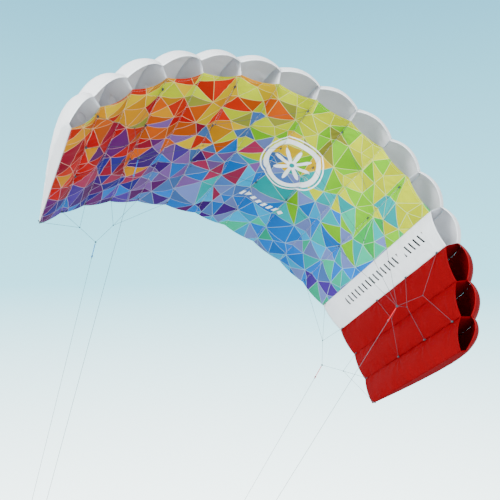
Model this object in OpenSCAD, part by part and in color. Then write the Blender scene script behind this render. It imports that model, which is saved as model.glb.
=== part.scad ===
// Parafoil kite: a ram-air wing of two fabric skins over sewn ribs, flown on
// four lines. The chord runs along Y with the intakes at -Y, the span along X,
// and the lines leave towards -Z. The origin is on the lower skin at the
// centre of the wing, under its centre of lift.

/* [Wing plan] */
// Number of cells across the wing
cells = 15; // [15]
// Half of the span, measured along the cloth
half_span = 1750; // [1300:10:2300]
// Chord on the centre line
center_chord = 1420; // [1150:10:1710]
// Share of the centre chord that lies ahead of the origin
lead_share = 0.4; // [0.35:0.01:0.45]
// How far the leading edge sweeps back, quadratic part
lead_sweep = 80; // [0:5:140]
// How far the leading edge sweeps back near the tips
lead_tip_sweep = 110; // [0:5:160]
// How far the trailing edge sweeps forward, quadratic part
trail_sweep = 500; // [300:5:560]
// How much of that sweep is given back near the tips
trail_tip_return = 145; // [60:5:200]
// How much wider the middle cells are than the tip cells
cell_crowding = 0.11; // [0:0.01:0.2]

/* [Arc] */
// Arc of each half wing, first power of the span share, degrees
arc_1 = 92; // [60:1:100]
// Arc of each half wing, third power, degrees
arc_3 = -23; // [-30:1:0]
// Arc of each half wing, fifth power, degrees
arc_5 = 6; // [0:1:10]

/* [Section] */
// Thickness of the wing section as a share of the chord
section_thickness = 0.25; // [0.18:0.01:0.28]
// Height of the intake as a share of the chord
intake_height = 0.052; // [0.045:0.001:0.07]
// Height of the end ribs' section, as a share of the other ribs'
tip_fullness = 0.4; // [0.3:0.05:1]
// How far the upper lip stands ahead of the lower one, share of the chord
lip_forward = 0.021; // [0.01:0.001:0.04]
// Gap between the two skins where they meet at the trailing edge
trail_gap = 0.8; // [0.6:0.1:1.2]
// Where a rib's cloth ends, short of the trailing edge, share of the chord
rib_end_share = 0.985; // [0.98:0.001:0.988]

/* [Fabric] */
// Thickness of a skin panel
skin_t = 1.2; // [0.8:0.1:1.6]
// Thickness of a rib
rib_t = 1.2; // [0.8:0.1:1.6]
// Clearance between a panel's edge and the rib that it is sewn to
seam_gap = 0.4; // [0.3:0.05:0.6]
// Outward bulge of an upper panel between its ribs
upper_bulge = 44; // [30:1:55]
// Outward bulge of a lower panel between its ribs
lower_bulge = 24; // [15:1:32]
// How far the trailing edge bows aft between two ribs
trail_bow = 16; // [8:1:24]

/* [Cross ports] */
// Places of the ports in a rib, share of the chord
port_at = [0.17, 0.35, 0.53]; // [0.1:0.01:0.6]
// Radius of each port on a rib as long as the centre chord
port_r = [38, 44, 34]; // [25:1:46]

/* [Flaps] */
// Ribs that each flap spans at the tip of the wing
flap_ribs = 6; // [6]
// Where a flap starts, share of the chord
flap_share = 0.72; // [0.68:0.01:0.76]
// Clearance on each side of the flap's fold
fold_gap = 1.5; // [1.2:0.1:2.5]
// Width of the soft gusset at the inner end of a flap, at the trailing edge
gusset_w = 62; // [58:1:80]

/* [Bridle] */
// Places of the three rows of bridle tabs, share of the chord
row_at = [0.07, 0.33, 0.6]; // [0.05:0.01:0.65]
// Outer radius of a bridle tab
tab_r = 8; // [7:0.5:10]
// Radius of the hole in a bridle tab
tab_hole_r = 3; // [2:0.5:4]
// How far below the skin the tab's hole sits
tab_drop = 10; // [9:0.5:12]
// Place of the brake tabs, share of the chord
brake_tab_at = 0.975; // [0.965:0.001:0.976]
// Outer radius of a brake tab, whose hole sits as far below the skin
brake_tab_r = 6; // [5:0.5:8]
// Radius of the hole in a brake tab
brake_hole_r = 2.5; // [1.5:0.5:3]
// Diameter of a bridle line
bridle_d = 2; // [1.4:0.1:2.6]
// Radius of a knot where two or three bridle lines join
knot_r = 5; // [4.5:0.5:6]
// Radius of the knot that gathers all the main lines of one side
tow_knot_r = 9; // [8:0.5:12]
// Radius of the knot that gathers all the brake lines of one side
brake_knot_r = 7; // [6:0.5:9]
// Clearance between the end of a line and the tab or knot of another piece
end_gap = 0.5; // [0.3:0.1:1]
// Main tow point of the right side, mirrored for the left
tow_point = [875, -200, -850]; // [-1200:5:1200]
// Knot that gathers the right side's brake lines, mirrored for the left
brake_point = [890, 700, -850]; // [-1200:5:1200]
// Share of the way from the tabs to the tow point where a pair of lines joins
pair_share = 0.45; // [0.3:0.05:0.6]
// Share of the way from the inner brake tabs to the brake knot
inner_fan_share = 0.62; // [0.5:0.02:0.7]
// Share of the way from the outer brake tabs to the brake knot
outer_fan_share = 0.5; // [0.4:0.02:0.7]

/* [Pigtails and flying lines] */
// Diameter of a coloured pigtail
pigtail_d = 5; // [4:0.5:6]
// Length of a pigtail
pigtail_len = 90; // [70:5:130]
// Radius of the stopper knot at the end of a pigtail
stopper_r = 4.5; // [4:0.5:6]
// Diameter of a flying line
line_d = 2.4; // [2:0.1:3]
// Radius of the sewn loop at the far end of a flying line, at its centre line
loop_r = 14; // [12:1:20]
// Thickness of the cord in that loop
loop_d = 3; // [2.5:0.1:4]
// Length of the sleeve over the splice beside the loop
sleeve_len = 60; // [40:5:90]
// Diameter of that sleeve
sleeve_d = 5; // [4:0.2:6]

/* [Hidden] */

// Ribs that carry bridle tabs, in pairs that share one knot, plain ribs, and the
// ribs that each brake fan holds, counted from 0 at the left tip.
bridled_pairs = [[8, 10], [12, 14]];
plain_rib_numbers = [9, 11, 13];
inner_fan_ribs = [10, 11, 12];
outer_fan_ribs = [13, 14, 15];

// Routes of the four flying lines, from the stopper knot of the pigtail to the
// sleeve at the far end. All four run straight towards one pilot.
main_route_right = [[868, -134, -933], [778, 665, -1947]];
main_route_left = [[-849, -136, -931], [-377, 1012, -2388]];
brake_route_right = [[882, 752, -940], [803, 1248, -1800]];
brake_route_left = [[-862, 750, -937], [-421, 1527, -2284]];

// How finely the skins are divided, along the chord and across a cell.
upper_rows = 10;
lower_rows = 7;
flap_rows = 4;
columns = 4;
arc_steps = 24;
cord_sides = 8;
ring_count = 18;

// Height of a knot as a share of its radius.
barrel_height = 1.4;
// Small step over which the slope of the section is taken, share of the chord.
slope_step = 0.004;
// Ports and tabs are drawn with this many facets, and so are lines and knots.
port_facets = 48;
tab_facets = 32;
line_facets = 24;

// The first cell of the red tip, and the colours of the cloth.
red_from = 12;
white_cloth = "whitesmoke";
red_cloth = "crimson";
mosaic_cloth = ["orangered", "tomato", "firebrick", "mediumvioletred", "orange", "gold",
    "yellowgreen", "limegreen", "turquoise", "deepskyblue", "slateblue", "whitesmoke",
    "crimson", "crimson", "crimson"];

function running_total(v) = [for (i = 0, t = v[0]; i < len(v); i = i + 1, t = i < len(v) ? t + v[i] : t) t];
function total(v) = running_total(v)[len(v) - 1];
function mix(a, b, t) = a * (1 - t) + b * t;
function unit(v) = v / norm(v);
function mirrored(p) = [-p[0], p[1], p[2]];
function side_point(p, side) = side > 0 ? p : mirrored(p);
function main_route(side) = side > 0 ? main_route_right : main_route_left;
function brake_route(side) = side > 0 ? brake_route_right : brake_route_left;

// Plan and arc. s is the share of the half span, from -1 at the left tip.
function station(i) = let (t = (2 * i - cells) / cells) t * (1 + cell_crowding * (1 - t * t));
function tangent(s) = arc_1 * s + arc_3 * pow(s, 3) + arc_5 * pow(s, 5);
function arc_point(s) = let (
        angles = [for (k = [0 : arc_steps - 1]) tangent(s * (k + 0.5) / arc_steps)],
        run = half_span * s / arc_steps
    ) [total([for (a = angles) cos(a)]) * run, -total([for (a = angles) sin(a)]) * run];
function lead_y(s) = -lead_share * center_chord + lead_sweep * pow(s, 2) + lead_tip_sweep * pow(s, 4);
function trail_y(s) =
    (1 - lead_share) * center_chord - trail_sweep * pow(s, 2) + trail_tip_return * pow(s, 4);
function chord(s) = trail_y(s) - lead_y(s);

rib_s = [for (i = [0 : cells]) station(i)];
rib_o = [for (s = rib_s) arc_point(s)];
rib_a = [for (s = rib_s) tangent(s)];
rib_c = [for (s = rib_s) chord(s)];
rib_y = [for (s = rib_s) lead_y(s)];
rib_fullness = [for (i = [0 : cells]) i == 0 || i == cells ? tip_fullness : 1];

// The section, in shares of the chord: q runs from the intake to the tail.
function half_thickness(q) = 5 * section_thickness
    * (0.2969 * sqrt(q) - 0.126 * q - 0.3516 * q * q + 0.2843 * pow(q, 3) - 0.1036 * pow(q, 4));
function upper_section(q) = [q - lip_forward * (1 - q), intake_height * (1 - q) + half_thickness(q)];
function upper_normal(q) = let (
        d = upper_section(min(1, q + slope_step)) - upper_section(max(0, q - slope_step))
    ) unit([-d[1], d[0]]);
function upper_q(share) = (share + lip_forward) / (1 + lip_forward);

// A point of the wing: on rib i, at shares u and v of its chord, plus lift mm
// square to the chord.
function wing_point(i, u, v, lift = 0) = let (h = v * rib_fullness[i] * rib_c[i] + lift)
    [rib_o[i][0] + h * sin(rib_a[i]), rib_y[i] + u * rib_c[i], rib_o[i][1] + h * cos(rib_a[i])];
function outward(i, n) = let (a = (rib_a[i] + rib_a[i + 1]) / 2) [n[1] * sin(a), n[0], n[1] * cos(a)];
function cell_width(i) = norm(rib_o[i + 1] - rib_o[i]);
function edge_share(i) = (rib_t / 2 + seam_gap) / cell_width(i);

// Which part of a panel is drawn: its rows of chord shares, and how far the
// gusset cuts into it at its left and right edges.
function is_flap_cell(i) = i < flap_ribs - 1 || i > cells - flap_ribs;
function gusset_share(i, u) = max(0, u - flap_share) / (1 - flap_share) * gusset_w / cell_width(i);
function left_cut(i, u) = edge_share(i) + (i == flap_ribs - 1 ? gusset_share(i, u) : 0);
function right_cut(i, u) = 1 - edge_share(i) - (i == cells - flap_ribs ? gusset_share(i, u) : 0);

// One point of a skin: cell i, share t across the drawn width, share q or u
// along the chord, out mm off the cloth's inner face.
function upper_skin(i, t, q, out) = let (
        uv = upper_section(q),
        w = mix(left_cut(i, uv[0]), right_cut(i, uv[0]), t),
        n = outward(i, upper_normal(q)),
        swell = 4 * t * (1 - t),
        left_end = wing_point(i, uv[0], uv[1], trail_gap * q),
        right_end = wing_point(i + 1, uv[0], uv[1], trail_gap * q),
        base = mix(left_end, right_end, w)
    ) base + n * (upper_bulge * swell * (1 - pow(q, 3)) + out) + [0, trail_bow * swell * pow(q, 3), 0];
function lower_skin(i, t, u, out) = let (
        w = mix(left_cut(i, u), right_cut(i, u), t),
        n = outward(i, [0, -1]),
        swell = 4 * t * (1 - t),
        base = mix(wing_point(i, u, 0), wing_point(i + 1, u, 0), w)
    ) base + n * (lower_bulge * swell * (1 - pow(u, 5)) + out) + [0, trail_bow * swell * pow(u, 3), 0];

// A closed shell between two grids of points with the same rows and columns.
module shell(outer, inner, rows, cols) {
    n = (rows + 1) * (cols + 1);
    at = function (r, c) r * (cols + 1) + c;
    outer_faces = [for (r = [0 : rows - 1]) for (c = [0 : cols - 1]) each
        [[at(r, c), at(r, c + 1), at(r + 1, c + 1)], [at(r, c), at(r + 1, c + 1), at(r + 1, c)]]];
    inner_faces = [for (f = outer_faces) [f[0] + n, f[2] + n, f[1] + n]];
    rim = concat(
        [for (c = [0 : cols - 1]) [at(0, c), at(0, c + 1)]],
        [for (r = [0 : rows - 1]) [at(r, cols), at(r + 1, cols)]],
        [for (c = [0 : cols - 1]) [at(rows, cols - c), at(rows, cols - c - 1)]],
        [for (r = [0 : rows - 1]) [at(rows - r, 0), at(rows - r - 1, 0)]]
    );
    rim_faces = [for (e = rim) each [[e[1], e[0], e[0] + n], [e[1], e[0] + n, e[1] + n]]];
    polyhedron(concat(outer, inner), concat(outer_faces, inner_faces, rim_faces), convexity = 4);
}

// A panel of the upper skin between two chord shares.
module upper_sheet(i, from, to, rows) {
    q0 = upper_q(from);
    q1 = upper_q(to);
    // Rows crowd towards the nose, where the cloth turns most.
    power = from < 0 ? 2 : 1;
    grid = function (out) [for (r = [0 : rows]) for (c = [0 : columns])
        upper_skin(i, c / columns, max(0, mix(q0, q1, pow(r / rows, power))), out)];
    shell(grid(skin_t), grid(0), rows, columns);
}

// A panel of the lower skin between two chord shares.
module lower_sheet(i, from, to, rows) {
    grid = function (out) [for (r = [0 : rows]) for (c = [0 : columns])
        lower_skin(i, 1 - c / columns, mix(from, to, r / rows), out)];
    shell(grid(skin_t), grid(0), rows, columns);
}

// Chord share at which the fixed part of cell i ends, and at which a flap starts.
function fixed_end(i) = is_flap_cell(i) ? flap_share - fold_gap / rib_c[i] : 1;
function flap_start(i) = flap_share + fold_gap / rib_c[i];

module upper_panel(i) {
    color(i < red_from ? white_cloth : red_cloth) upper_sheet(i, -lip_forward, fixed_end(i), upper_rows);
}

module lower_panel(i) {
    color(mosaic_cloth[i]) lower_sheet(i, 0, fixed_end(i), lower_rows);
}

// Puts a flat drawing of rib i, in chord mm and height mm, in its place.
module on_rib(i) {
    translate([rib_o[i][0], rib_y[i], rib_o[i][1]])
        rotate([0, rib_a[i], 0])
            rotate([90, 0, 90])
                linear_extrude(rib_t, center = true, convexity = 6) children();
}

// Outline of rib i between two chord shares, in mm.
module rib_outline(i, from, to, rows) {
    c = rib_c[i];
    q0 = max(0, upper_q(from));
    q1 = upper_q(to);
    power = from < 0 ? 2 : 1;
    top = [for (r = [0 : rows]) let (q = mix(q0, q1, pow(r / rows, power)), uv = upper_section(q))
        [uv[0] * c, uv[1] * rib_fullness[i] * c + trail_gap * q]];
    polygon(concat([[max(0, from) * c, 0]], top, [[to * c, 0]]));
}

// A tab reaches this far up into the rib that it is part of.
tab_root = 1;

module bridle_tab(i, share) {
    translate([share * rib_c[i], -tab_drop]) {
        circle(r = tab_r, $fn = tab_facets);
        translate([-tab_r, 0]) square([2 * tab_r, tab_drop + tab_root]);
    }
}

// The fixed part of a rib. Ports let air from cell to cell; the two end ribs
// have none. Tabs for the bridle stand below the skin.
module rib(i, ported, tabbed) {
    section_rows = 20;
    on_rib(i) difference() {
        union() {
            rib_outline(i, -lip_forward, rib_end(i), section_rows);
            if (tabbed) for (share = row_at) bridle_tab(i, share);
        }
        if (ported) for (k = [0 : len(port_at) - 1])
            translate([port_at[k], port_height(port_at[k])] * rib_c[i])
                circle(r = port_r[k] * rib_c[i] / center_chord, $fn = port_facets);
        if (tabbed) for (share = row_at)
            translate([share * rib_c[i], -tab_drop]) circle(r = tab_hole_r, $fn = tab_facets);
    }
}

function port_height(share) = upper_section(upper_q(share))[1] / 2;
function on_flap(i) = i < flap_ribs || i > cells - flap_ribs;
function rib_end(i) = on_flap(i) ? flap_share - fold_gap / rib_c[i] : rib_end_share;

// The part of a rib that swings with the flap, with its brake tab.
module rib_tail(i) {
    tail_rows = 6;
    on_rib(i) difference() {
        union() {
            rib_outline(i, flap_start(i), rib_end_share, tail_rows);
            translate([brake_tab_at * rib_c[i], -brake_tab_r]) {
                circle(r = brake_tab_r, $fn = tab_facets);
                translate([-brake_tab_r, 0]) square([2 * brake_tab_r, brake_tab_r]);
            }
        }
        translate([brake_tab_at * rib_c[i], -brake_tab_r]) circle(r = brake_hole_r, $fn = tab_facets);
    }
}

function left_of(i) = cells - i;
function rib_of(i, side) = side > 0 ? i : left_of(i);

module end_rib(side) {
    color(side > 0 ? "firebrick" : white_cloth) rib(rib_of(cells, side), false, false);
}

module plain_ribs() {
    color(white_cloth) for (i = plain_rib_numbers) for (side = [-1, 1]) rib(rib_of(i, side), true, false);
}

module bridled_ribs(side) {
    color(white_cloth) for (pair = bridled_pairs) for (i = pair) rib(rib_of(i, side), true, true);
}

module flap_skins(side) {
    color(side > 0 ? red_cloth : "orangered") for (k = [cells - flap_ribs + 1 : cells - 1]) {
        i = side > 0 ? k : cells - 1 - k;
        upper_sheet(i, flap_start(i), 1, flap_rows);
        lower_sheet(i, flap_start(i), 1, flap_rows);
    }
}

module flap_tails(side) {
    color(white_cloth) for (i = [cells - flap_ribs + 1 : cells]) rib_tail(rib_of(i, side));
}

// Turns what stands along +Z to lie along a direction.
module aimed(along) {
    rotate([0, acos(along[2] / norm(along)), atan2(along[1], along[0])]) children();
}

// A straight line between two points, stopped short of each by a trim.
module taut_line(a, b, d, trim_a, trim_b) {
    v = b - a;
    translate(a + unit(v) * trim_a)
        aimed(v) cylinder(h = norm(v) - trim_a - trim_b, d = d, $fn = line_facets);
}

// A knot, a little barrel whose flat ends the lines run into.
module knot(p, r, along) {
    translate(p) aimed(along) cylinder(h = r * barrel_height, r = r, center = true, $fn = line_facets);
}

// Bridle lines that run from their starts to one knot, where they end side by
// side a little way inside it, and the knot itself.
module gathered(starts, join, start_trim, r) {
    last = len(starts) - 1;
    across = unit(starts[last] - starts[0]) * (bridle_d + end_gap);
    for (k = [0 : last])
        taut_line(starts[k], join + across * (k - last / 2), bridle_d, start_trim, bridle_d / 4);
    knot(join, r, middle_of(starts) - join);
}

// Where line ends sit: the hole of a bridle tab, and of a brake tab.
function tab_hole(i, row) = wing_point(i, row_at[row], 0, -tab_drop);
function brake_hole(i) = wing_point(i, brake_tab_at, 0, -brake_tab_r);
function middle_of(points) = total(points) / len(points);
function joining_knot(points, target, share) = mix(middle_of(points), target, share);

// One row of a side's bridle: each pair of tabs runs to a knot, and each knot
// to the tow point. The front row also carries the tow knot.
module bridle_row(side, row) {
    target = side_point(tow_point, side);
    holes = [for (pair = bridled_pairs) [for (i = pair) tab_hole(rib_of(i, side), row)]];
    joins = [for (pair_holes = holes) joining_knot(pair_holes, target, pair_share)];
    color("gray") {
        for (k = [0 : len(holes) - 1])
            gathered(holes[k], joins[k], tab_r + bridle_d / 2 + end_gap, knot_r);
        if (row == 0) gathered(joins, target, bridle_d, tow_knot_r);
        else for (join = joins)
            taut_line(join, target, bridle_d, bridle_d, tow_knot_r + bridle_d / 2 + end_gap);
    }
}

function fan_knot(ribs, side, share) =
    joining_knot([for (i = ribs) brake_hole(rib_of(i, side))], side_point(brake_point, side), share);

module brake_fan(side, ribs, share) {
    holes = [for (i = ribs) brake_hole(rib_of(i, side))];
    color("gray") gathered(holes, fan_knot(ribs, side, share), brake_tab_r + bridle_d / 2 + end_gap, knot_r);
}

module brake_mids(side) {
    joins = [
        fan_knot(inner_fan_ribs, side, inner_fan_share),
        fan_knot(outer_fan_ribs, side, outer_fan_share)
    ];
    color("gray") gathered(joins, side_point(brake_point, side), knot_r + end_gap, brake_knot_r);
}

// A coloured pigtail from a gathering knot towards the flying line, with the
// stopper knot that the line's loop is hitched behind.
module pigtail(from, towards, from_r, side) {
    clear = from_r * norm([1, barrel_height / 2]) + end_gap;
    end = from + unit(towards - from) * (clear + pigtail_len);
    color(side > 0 ? "red" : "royalblue") {
        taut_line(from, end, pigtail_d, clear, 0);
        knot(end, stopper_r, towards - from);
    }
}

module main_pigtail(side) {
    pigtail(side_point(tow_point, side), main_route(side)[0], tow_knot_r, side);
}

module brake_pigtail(side) {
    pigtail(side_point(brake_point, side), brake_route(side)[0], brake_knot_r, side);
}

// A cord swept along its route with evenly spread rings.
module cord(route, d) {
    spans = len(route) - 1;
    place = function (t) let (k = min(spans - 1, floor(t * spans)))
        mix(route[k], route[k + 1], t * spans - k);
    along = unit(route[spans] - route[0]);
    side_axis = unit(cross(along, [0, 0, 1]));
    up_axis = cross(side_axis, along);
    spoke = function (a) (side_axis * cos(a) + up_axis * sin(a)) * d / 2;
    points = [for (r = [0 : ring_count]) for (k = [0 : cord_sides - 1])
        place(r / ring_count) + spoke(360 * k / cord_sides)];
    at = function (r, k) r * cord_sides + k % cord_sides;
    walls = [for (r = [0 : ring_count - 1]) for (k = [0 : cord_sides - 1]) each
        [[at(r, k), at(r, k + 1), at(r + 1, k + 1)], [at(r, k), at(r + 1, k + 1), at(r + 1, k)]]];
    caps = [[for (k = [cord_sides - 1 : -1 : 0]) k], [for (k = [0 : cord_sides - 1]) at(ring_count, k)]];
    polyhedron(points, concat(walls, caps), convexity = 4);
}

// The sleeve and sewn loop at the far end of a flying line.
module end_loop(end, along) {
    translate(end) aimed(along) {
        translate([0, 0, end_gap]) cylinder(h = sleeve_len, d = sleeve_d, $fn = line_facets);
        translate([0, 0, sleeve_len + 2 * end_gap + loop_r + loop_d / 2])
            rotate([90, 0, 0])
                rotate_extrude($fn = tab_facets) translate([loop_r, 0]) circle(d = loop_d, $fn = line_facets);
    }
}

module flying_line(route) {
    last = route[len(route) - 1];
    color("silver") {
        cord(route, line_d);
        end_loop(last, unit(last - route[len(route) - 2]));
    }
}

for (i = [0 : cells - 1]) {
    number = str(i < 9 ? "0" : "", i + 1);
    lower_panel(i);
    upper_panel(i);
}
for (side = [-1, 1]) {
    hand = side > 0 ? "_right" : "_left";
    end_rib(side);
    bridled_ribs(side);
    flap_skins(side);
    flap_tails(side);
    bridle_row(side, 0);
    bridle_row(side, 1);
    bridle_row(side, 2);
    brake_fan(side, inner_fan_ribs, inner_fan_share);
    brake_fan(side, outer_fan_ribs, outer_fan_share);
    brake_mids(side);
    brake_pigtail(side);
    main_pigtail(side);
    flying_line(main_route(side));
    flying_line(brake_route(side));
}
plain_ribs();
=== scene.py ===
"""A parafoil kite in cloth and cord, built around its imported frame.

Each operator makes one group of pieces. Lengths are in metres, the chord runs along Y with
the intakes at -Y, the span along X, and the flying lines leave towards -Z.
"""

import math
import random

import bpy
import numpy as np
from mathutils import Matrix, Vector, geometry


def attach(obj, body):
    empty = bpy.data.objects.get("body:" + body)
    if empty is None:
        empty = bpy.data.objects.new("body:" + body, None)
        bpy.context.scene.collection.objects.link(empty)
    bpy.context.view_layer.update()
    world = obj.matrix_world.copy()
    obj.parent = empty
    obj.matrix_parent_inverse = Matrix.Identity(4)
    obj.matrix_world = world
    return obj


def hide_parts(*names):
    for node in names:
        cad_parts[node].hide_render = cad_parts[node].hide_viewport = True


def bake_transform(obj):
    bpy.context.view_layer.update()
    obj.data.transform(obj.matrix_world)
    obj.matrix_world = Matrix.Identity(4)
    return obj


bl_info = {
    "name": "Parafoil Kite",
    "version": (1, 0, 0),
    "blender": (4, 5, 0),
    "location": "View3D > Sidebar > Kite",
    "description": "Sews a ram-air kite, its bridle and its lines around a packed frame",
    "category": "Object",
}

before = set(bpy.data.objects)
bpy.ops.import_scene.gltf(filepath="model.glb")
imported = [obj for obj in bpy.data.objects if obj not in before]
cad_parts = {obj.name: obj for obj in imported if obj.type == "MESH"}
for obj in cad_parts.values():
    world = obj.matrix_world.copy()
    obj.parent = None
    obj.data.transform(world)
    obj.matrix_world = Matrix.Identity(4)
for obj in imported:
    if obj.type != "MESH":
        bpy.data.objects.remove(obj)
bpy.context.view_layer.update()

# The wing plan, arc and section, as the frame has them.
CELLS = 15
HALF_SPAN = 1.75
CENTER_CHORD = 1.42
LEAD_SHARE = 0.4
LEAD_SWEEP = (0.08, 0.11)
TRAIL_SWEEP = (0.5, -0.145)
CELL_CROWDING = 0.11
ARC = (92, -23, 6)
ARC_STEPS = 24
SECTION_THICKNESS = 0.25
INTAKE_HEIGHT = 0.052
LIP_FORWARD = 0.021
TIP_FULLNESS = 0.4
TRAIL_GAP = 0.0008
UPPER_BULGE = 0.044
LOWER_BULGE = 0.024
TRAIL_BOW = 0.016
RIB_END = 0.985
PORTS = ((0.17, 0.038), (0.35, 0.044), (0.53, 0.034))
SKIN_T = 0.0012

# Flaps, bridle and lines, as the frame has them.
FLAP_SHARE = 0.72
INNER_FLAP_RIB = 10
TAB_ROWS = (0.07, 0.33, 0.6)
TAB_DROP = 0.01
BRAKE_TAB_AT = 0.975
BRAKE_TAB_DROP = 0.006
BRIDLED_PAIRS = ((8, 10), (12, 14))
FANS = ((10, 11, 12), (13, 14, 15))
FAN_SHARES = (0.62, 0.5)
PAIR_SHARE = 0.45
TOW_POINT = (0.875, -0.2, -0.85)
BRAKE_POINT = (0.89, 0.7, -0.85)
PIGTAIL_LENGTH = 0.09
TOW_KNOT_R = 0.009
BRAKE_KNOT_R = 0.007
KNOT_REACH = math.hypot(1, 0.7)
END_GAP = 0.0005
BRIDLE_D = 0.002
PIGTAIL_D = 0.005
LINE_D = 0.0024
SLEEVE_LENGTH = 0.06
SLEEVE_D = 0.005
LOOP_R = 0.014
LOOP_D = 0.003
LINE_ROUTES = {
    "main_line_right": ((0.868, -0.134, -0.933), (0.778, 0.665, -1.947)),
    "main_line_left": ((-0.849, -0.136, -0.931), (-0.377, 1.012, -2.388)),
    "brake_line_right": ((0.882, 0.752, -0.94), (0.803, 1.248, -1.8)),
    "brake_line_left": ((-0.862, 0.75, -0.937), (-0.421, 1.527, -2.284)),
}

# Which cells are cut from which cloth, counted from 0 at the left tip.
MOSAIC_CELLS = 11
RED_FROM = 12
LIME_FROM = 5
BLUE_FROM = 9

# The camera, and how far seams stand off the cloth.
CAMERA_PLACE = (-0.659, -2.807, -3.348)
CAMERA_RIGHT = (0.8594, -0.4307, 0.2754)
CAMERA_UP = (-0.4855, -0.5185, 0.7039)
CAMERA_LENS = 45.62
STITCH_PROUD = 0.0002
TAPE_PROUD = 0.0005
TAPE_STITCH_PROUD = 0.0006
TAPE_EDGE = 0.003
SEAM_STITCH = 0.004
STITCH_WIDTH = 0.0011

# The leading term of the square root in the section's thickness.
NOSE_TERM = 0.2969

# Named print colours, as seen, from 0 to 1.
PRINT = {
    "amber": (0.88, 0.66, 0.08),
    "orange": (0.86, 0.47, 0.12),
    "vermilion": (0.84, 0.28, 0.12),
    "red": (0.78, 0.10, 0.10),
    "crimson": (0.62, 0.13, 0.26),
    "plum": (0.40, 0.15, 0.42),
    "purple": (0.32, 0.15, 0.48),
    "violet": (0.42, 0.30, 0.66),
    "indigo": (0.24, 0.20, 0.54),
    "rose": (0.68, 0.28, 0.42),
    "mauve": (0.55, 0.42, 0.64),
    "sky": (0.18, 0.58, 0.88),
    "steel": (0.40, 0.55, 0.76),
    "lavender": (0.56, 0.62, 0.82),
    "cyan": (0.08, 0.78, 0.94),
    "blue": (0.12, 0.60, 0.90),
    "teal": (0.14, 0.74, 0.74),
    "mint": (0.20, 0.80, 0.66),
    "green": (0.24, 0.78, 0.42),
    "lime": (0.60, 0.84, 0.14),
    "olive": (0.62, 0.62, 0.30),
    "yellow": (0.87, 0.90, 0.05),
    "gold": (0.92, 0.80, 0.06),
}
# The mix of print colours over the wing: a column for each share of the half span, with a
# patch for each share of the chord, from the intakes to the trailing edge.
PATCH_ROWS = (0.08, 0.28, 0.48, 0.68, 0.9)
PATCHES = {
    -0.95: (
        "amber amber yellow orange vermilion",
        "red vermilion red crimson amber",
        "vermilion red amber plum red",
        "crimson purple plum indigo red",
        "indigo purple plum indigo plum violet",
    ),
    -0.75: (
        "amber yellow gold orange amber vermilion",
        "red vermilion amber red amber orange",
        "crimson red purple red orange plum",
        "crimson purple indigo plum rose amber",
        "purple indigo violet plum sky",
    ),
    -0.5: (
        "amber yellow vermilion gold yellow",
        "gold red orange olive amber vermilion",
        "violet crimson orange mauve plum gold",
        "sky rose purple mauve violet indigo",
        "purple violet indigo steel plum mauve",
    ),
    -0.25: (
        "yellow gold yellow olive yellow orange",
        "gold yellow olive orange steel yellow",
        "steel mauve rose teal sky gold",
        "sky teal steel rose mauve lavender",
        "blue steel purple cyan sky lavender",
    ),
    0.0: (
        "yellow yellow lime yellow olive",
        "lime yellow gold lime yellow teal",
        "teal lavender steel lime teal gold",
        "lavender cyan teal blue lavender",
        "cyan lavender cyan blue mint",
    ),
    0.2: (
        "yellow yellow yellow lime",
        "lime yellow yellow green lime",
        "teal lavender lime teal blue",
        "sky blue lavender cyan mint",
        "cyan blue sky cyan lavender mint",
    ),
    0.45: (
        "yellow lime yellow yellow green",
        "green yellow yellow lime teal",
        "teal green blue lime mint lavender",
        "blue mint lavender sky teal sky",
        "steel violet lavender mint blue steel",
    ),
}


class KiteClothSettings(bpy.types.PropertyGroup):
    """Sizes of the cloth, its folds and its print."""

    thickness: bpy.props.FloatProperty(
        name="Thickness", description="Thickness of the coated cloth", default=0.0005, unit="LENGTH"
    )
    rows: bpy.props.IntProperty(
        name="Rows", description="Rows of a skin panel along the chord", default=120, min=20
    )
    columns: bpy.props.IntProperty(
        name="Columns", description="Columns of a skin panel across its cell", default=16, min=6
    )
    fold_depth: bpy.props.FloatProperty(
        name="Fold depth", description="Depth of the folds beside a seam", default=0.0034, unit="LENGTH"
    )
    fold_reach: bpy.props.FloatProperty(
        name="Fold reach",
        description="Where those folds are deepest, from the seam",
        default=0.014, unit="LENGTH",
    )
    pull_depth: bpy.props.FloatProperty(
        name="Tab pull",
        description="Depth of the folds that a bridle tab pulls",
        default=0.0025, unit="LENGTH",
    )
    facet_size: bpy.props.FloatProperty(
        name="Facet size",
        description="Least distance between corners of the print",
        default=0.085, unit="LENGTH",
    )
    facet_corners: bpy.props.IntProperty(
        name="Facet corners", description="Number of corners in the print", default=300, min=20
    )
    facet_line: bpy.props.FloatProperty(
        name="Facet line",
        description="Half width of the pale lines of the print",
        default=0.0017, unit="LENGTH",
    )
    seed: bpy.props.IntProperty(
        name="Seed", description="Seed of the print and the folds", default=7
    )
    hem_width: bpy.props.FloatProperty(
        name="Hem width", description="Width of the hem at an intake", default=0.016, unit="LENGTH"
    )
    stitch_pitch: bpy.props.FloatProperty(
        name="Stitch pitch",
        description="Distance from one stitch to the next",
        default=0.009, unit="LENGTH",
    )
    stitch_size: bpy.props.FloatProperty(
        name="Stitch length", description="Length of one stitch", default=0.006, unit="LENGTH"
    )


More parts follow.
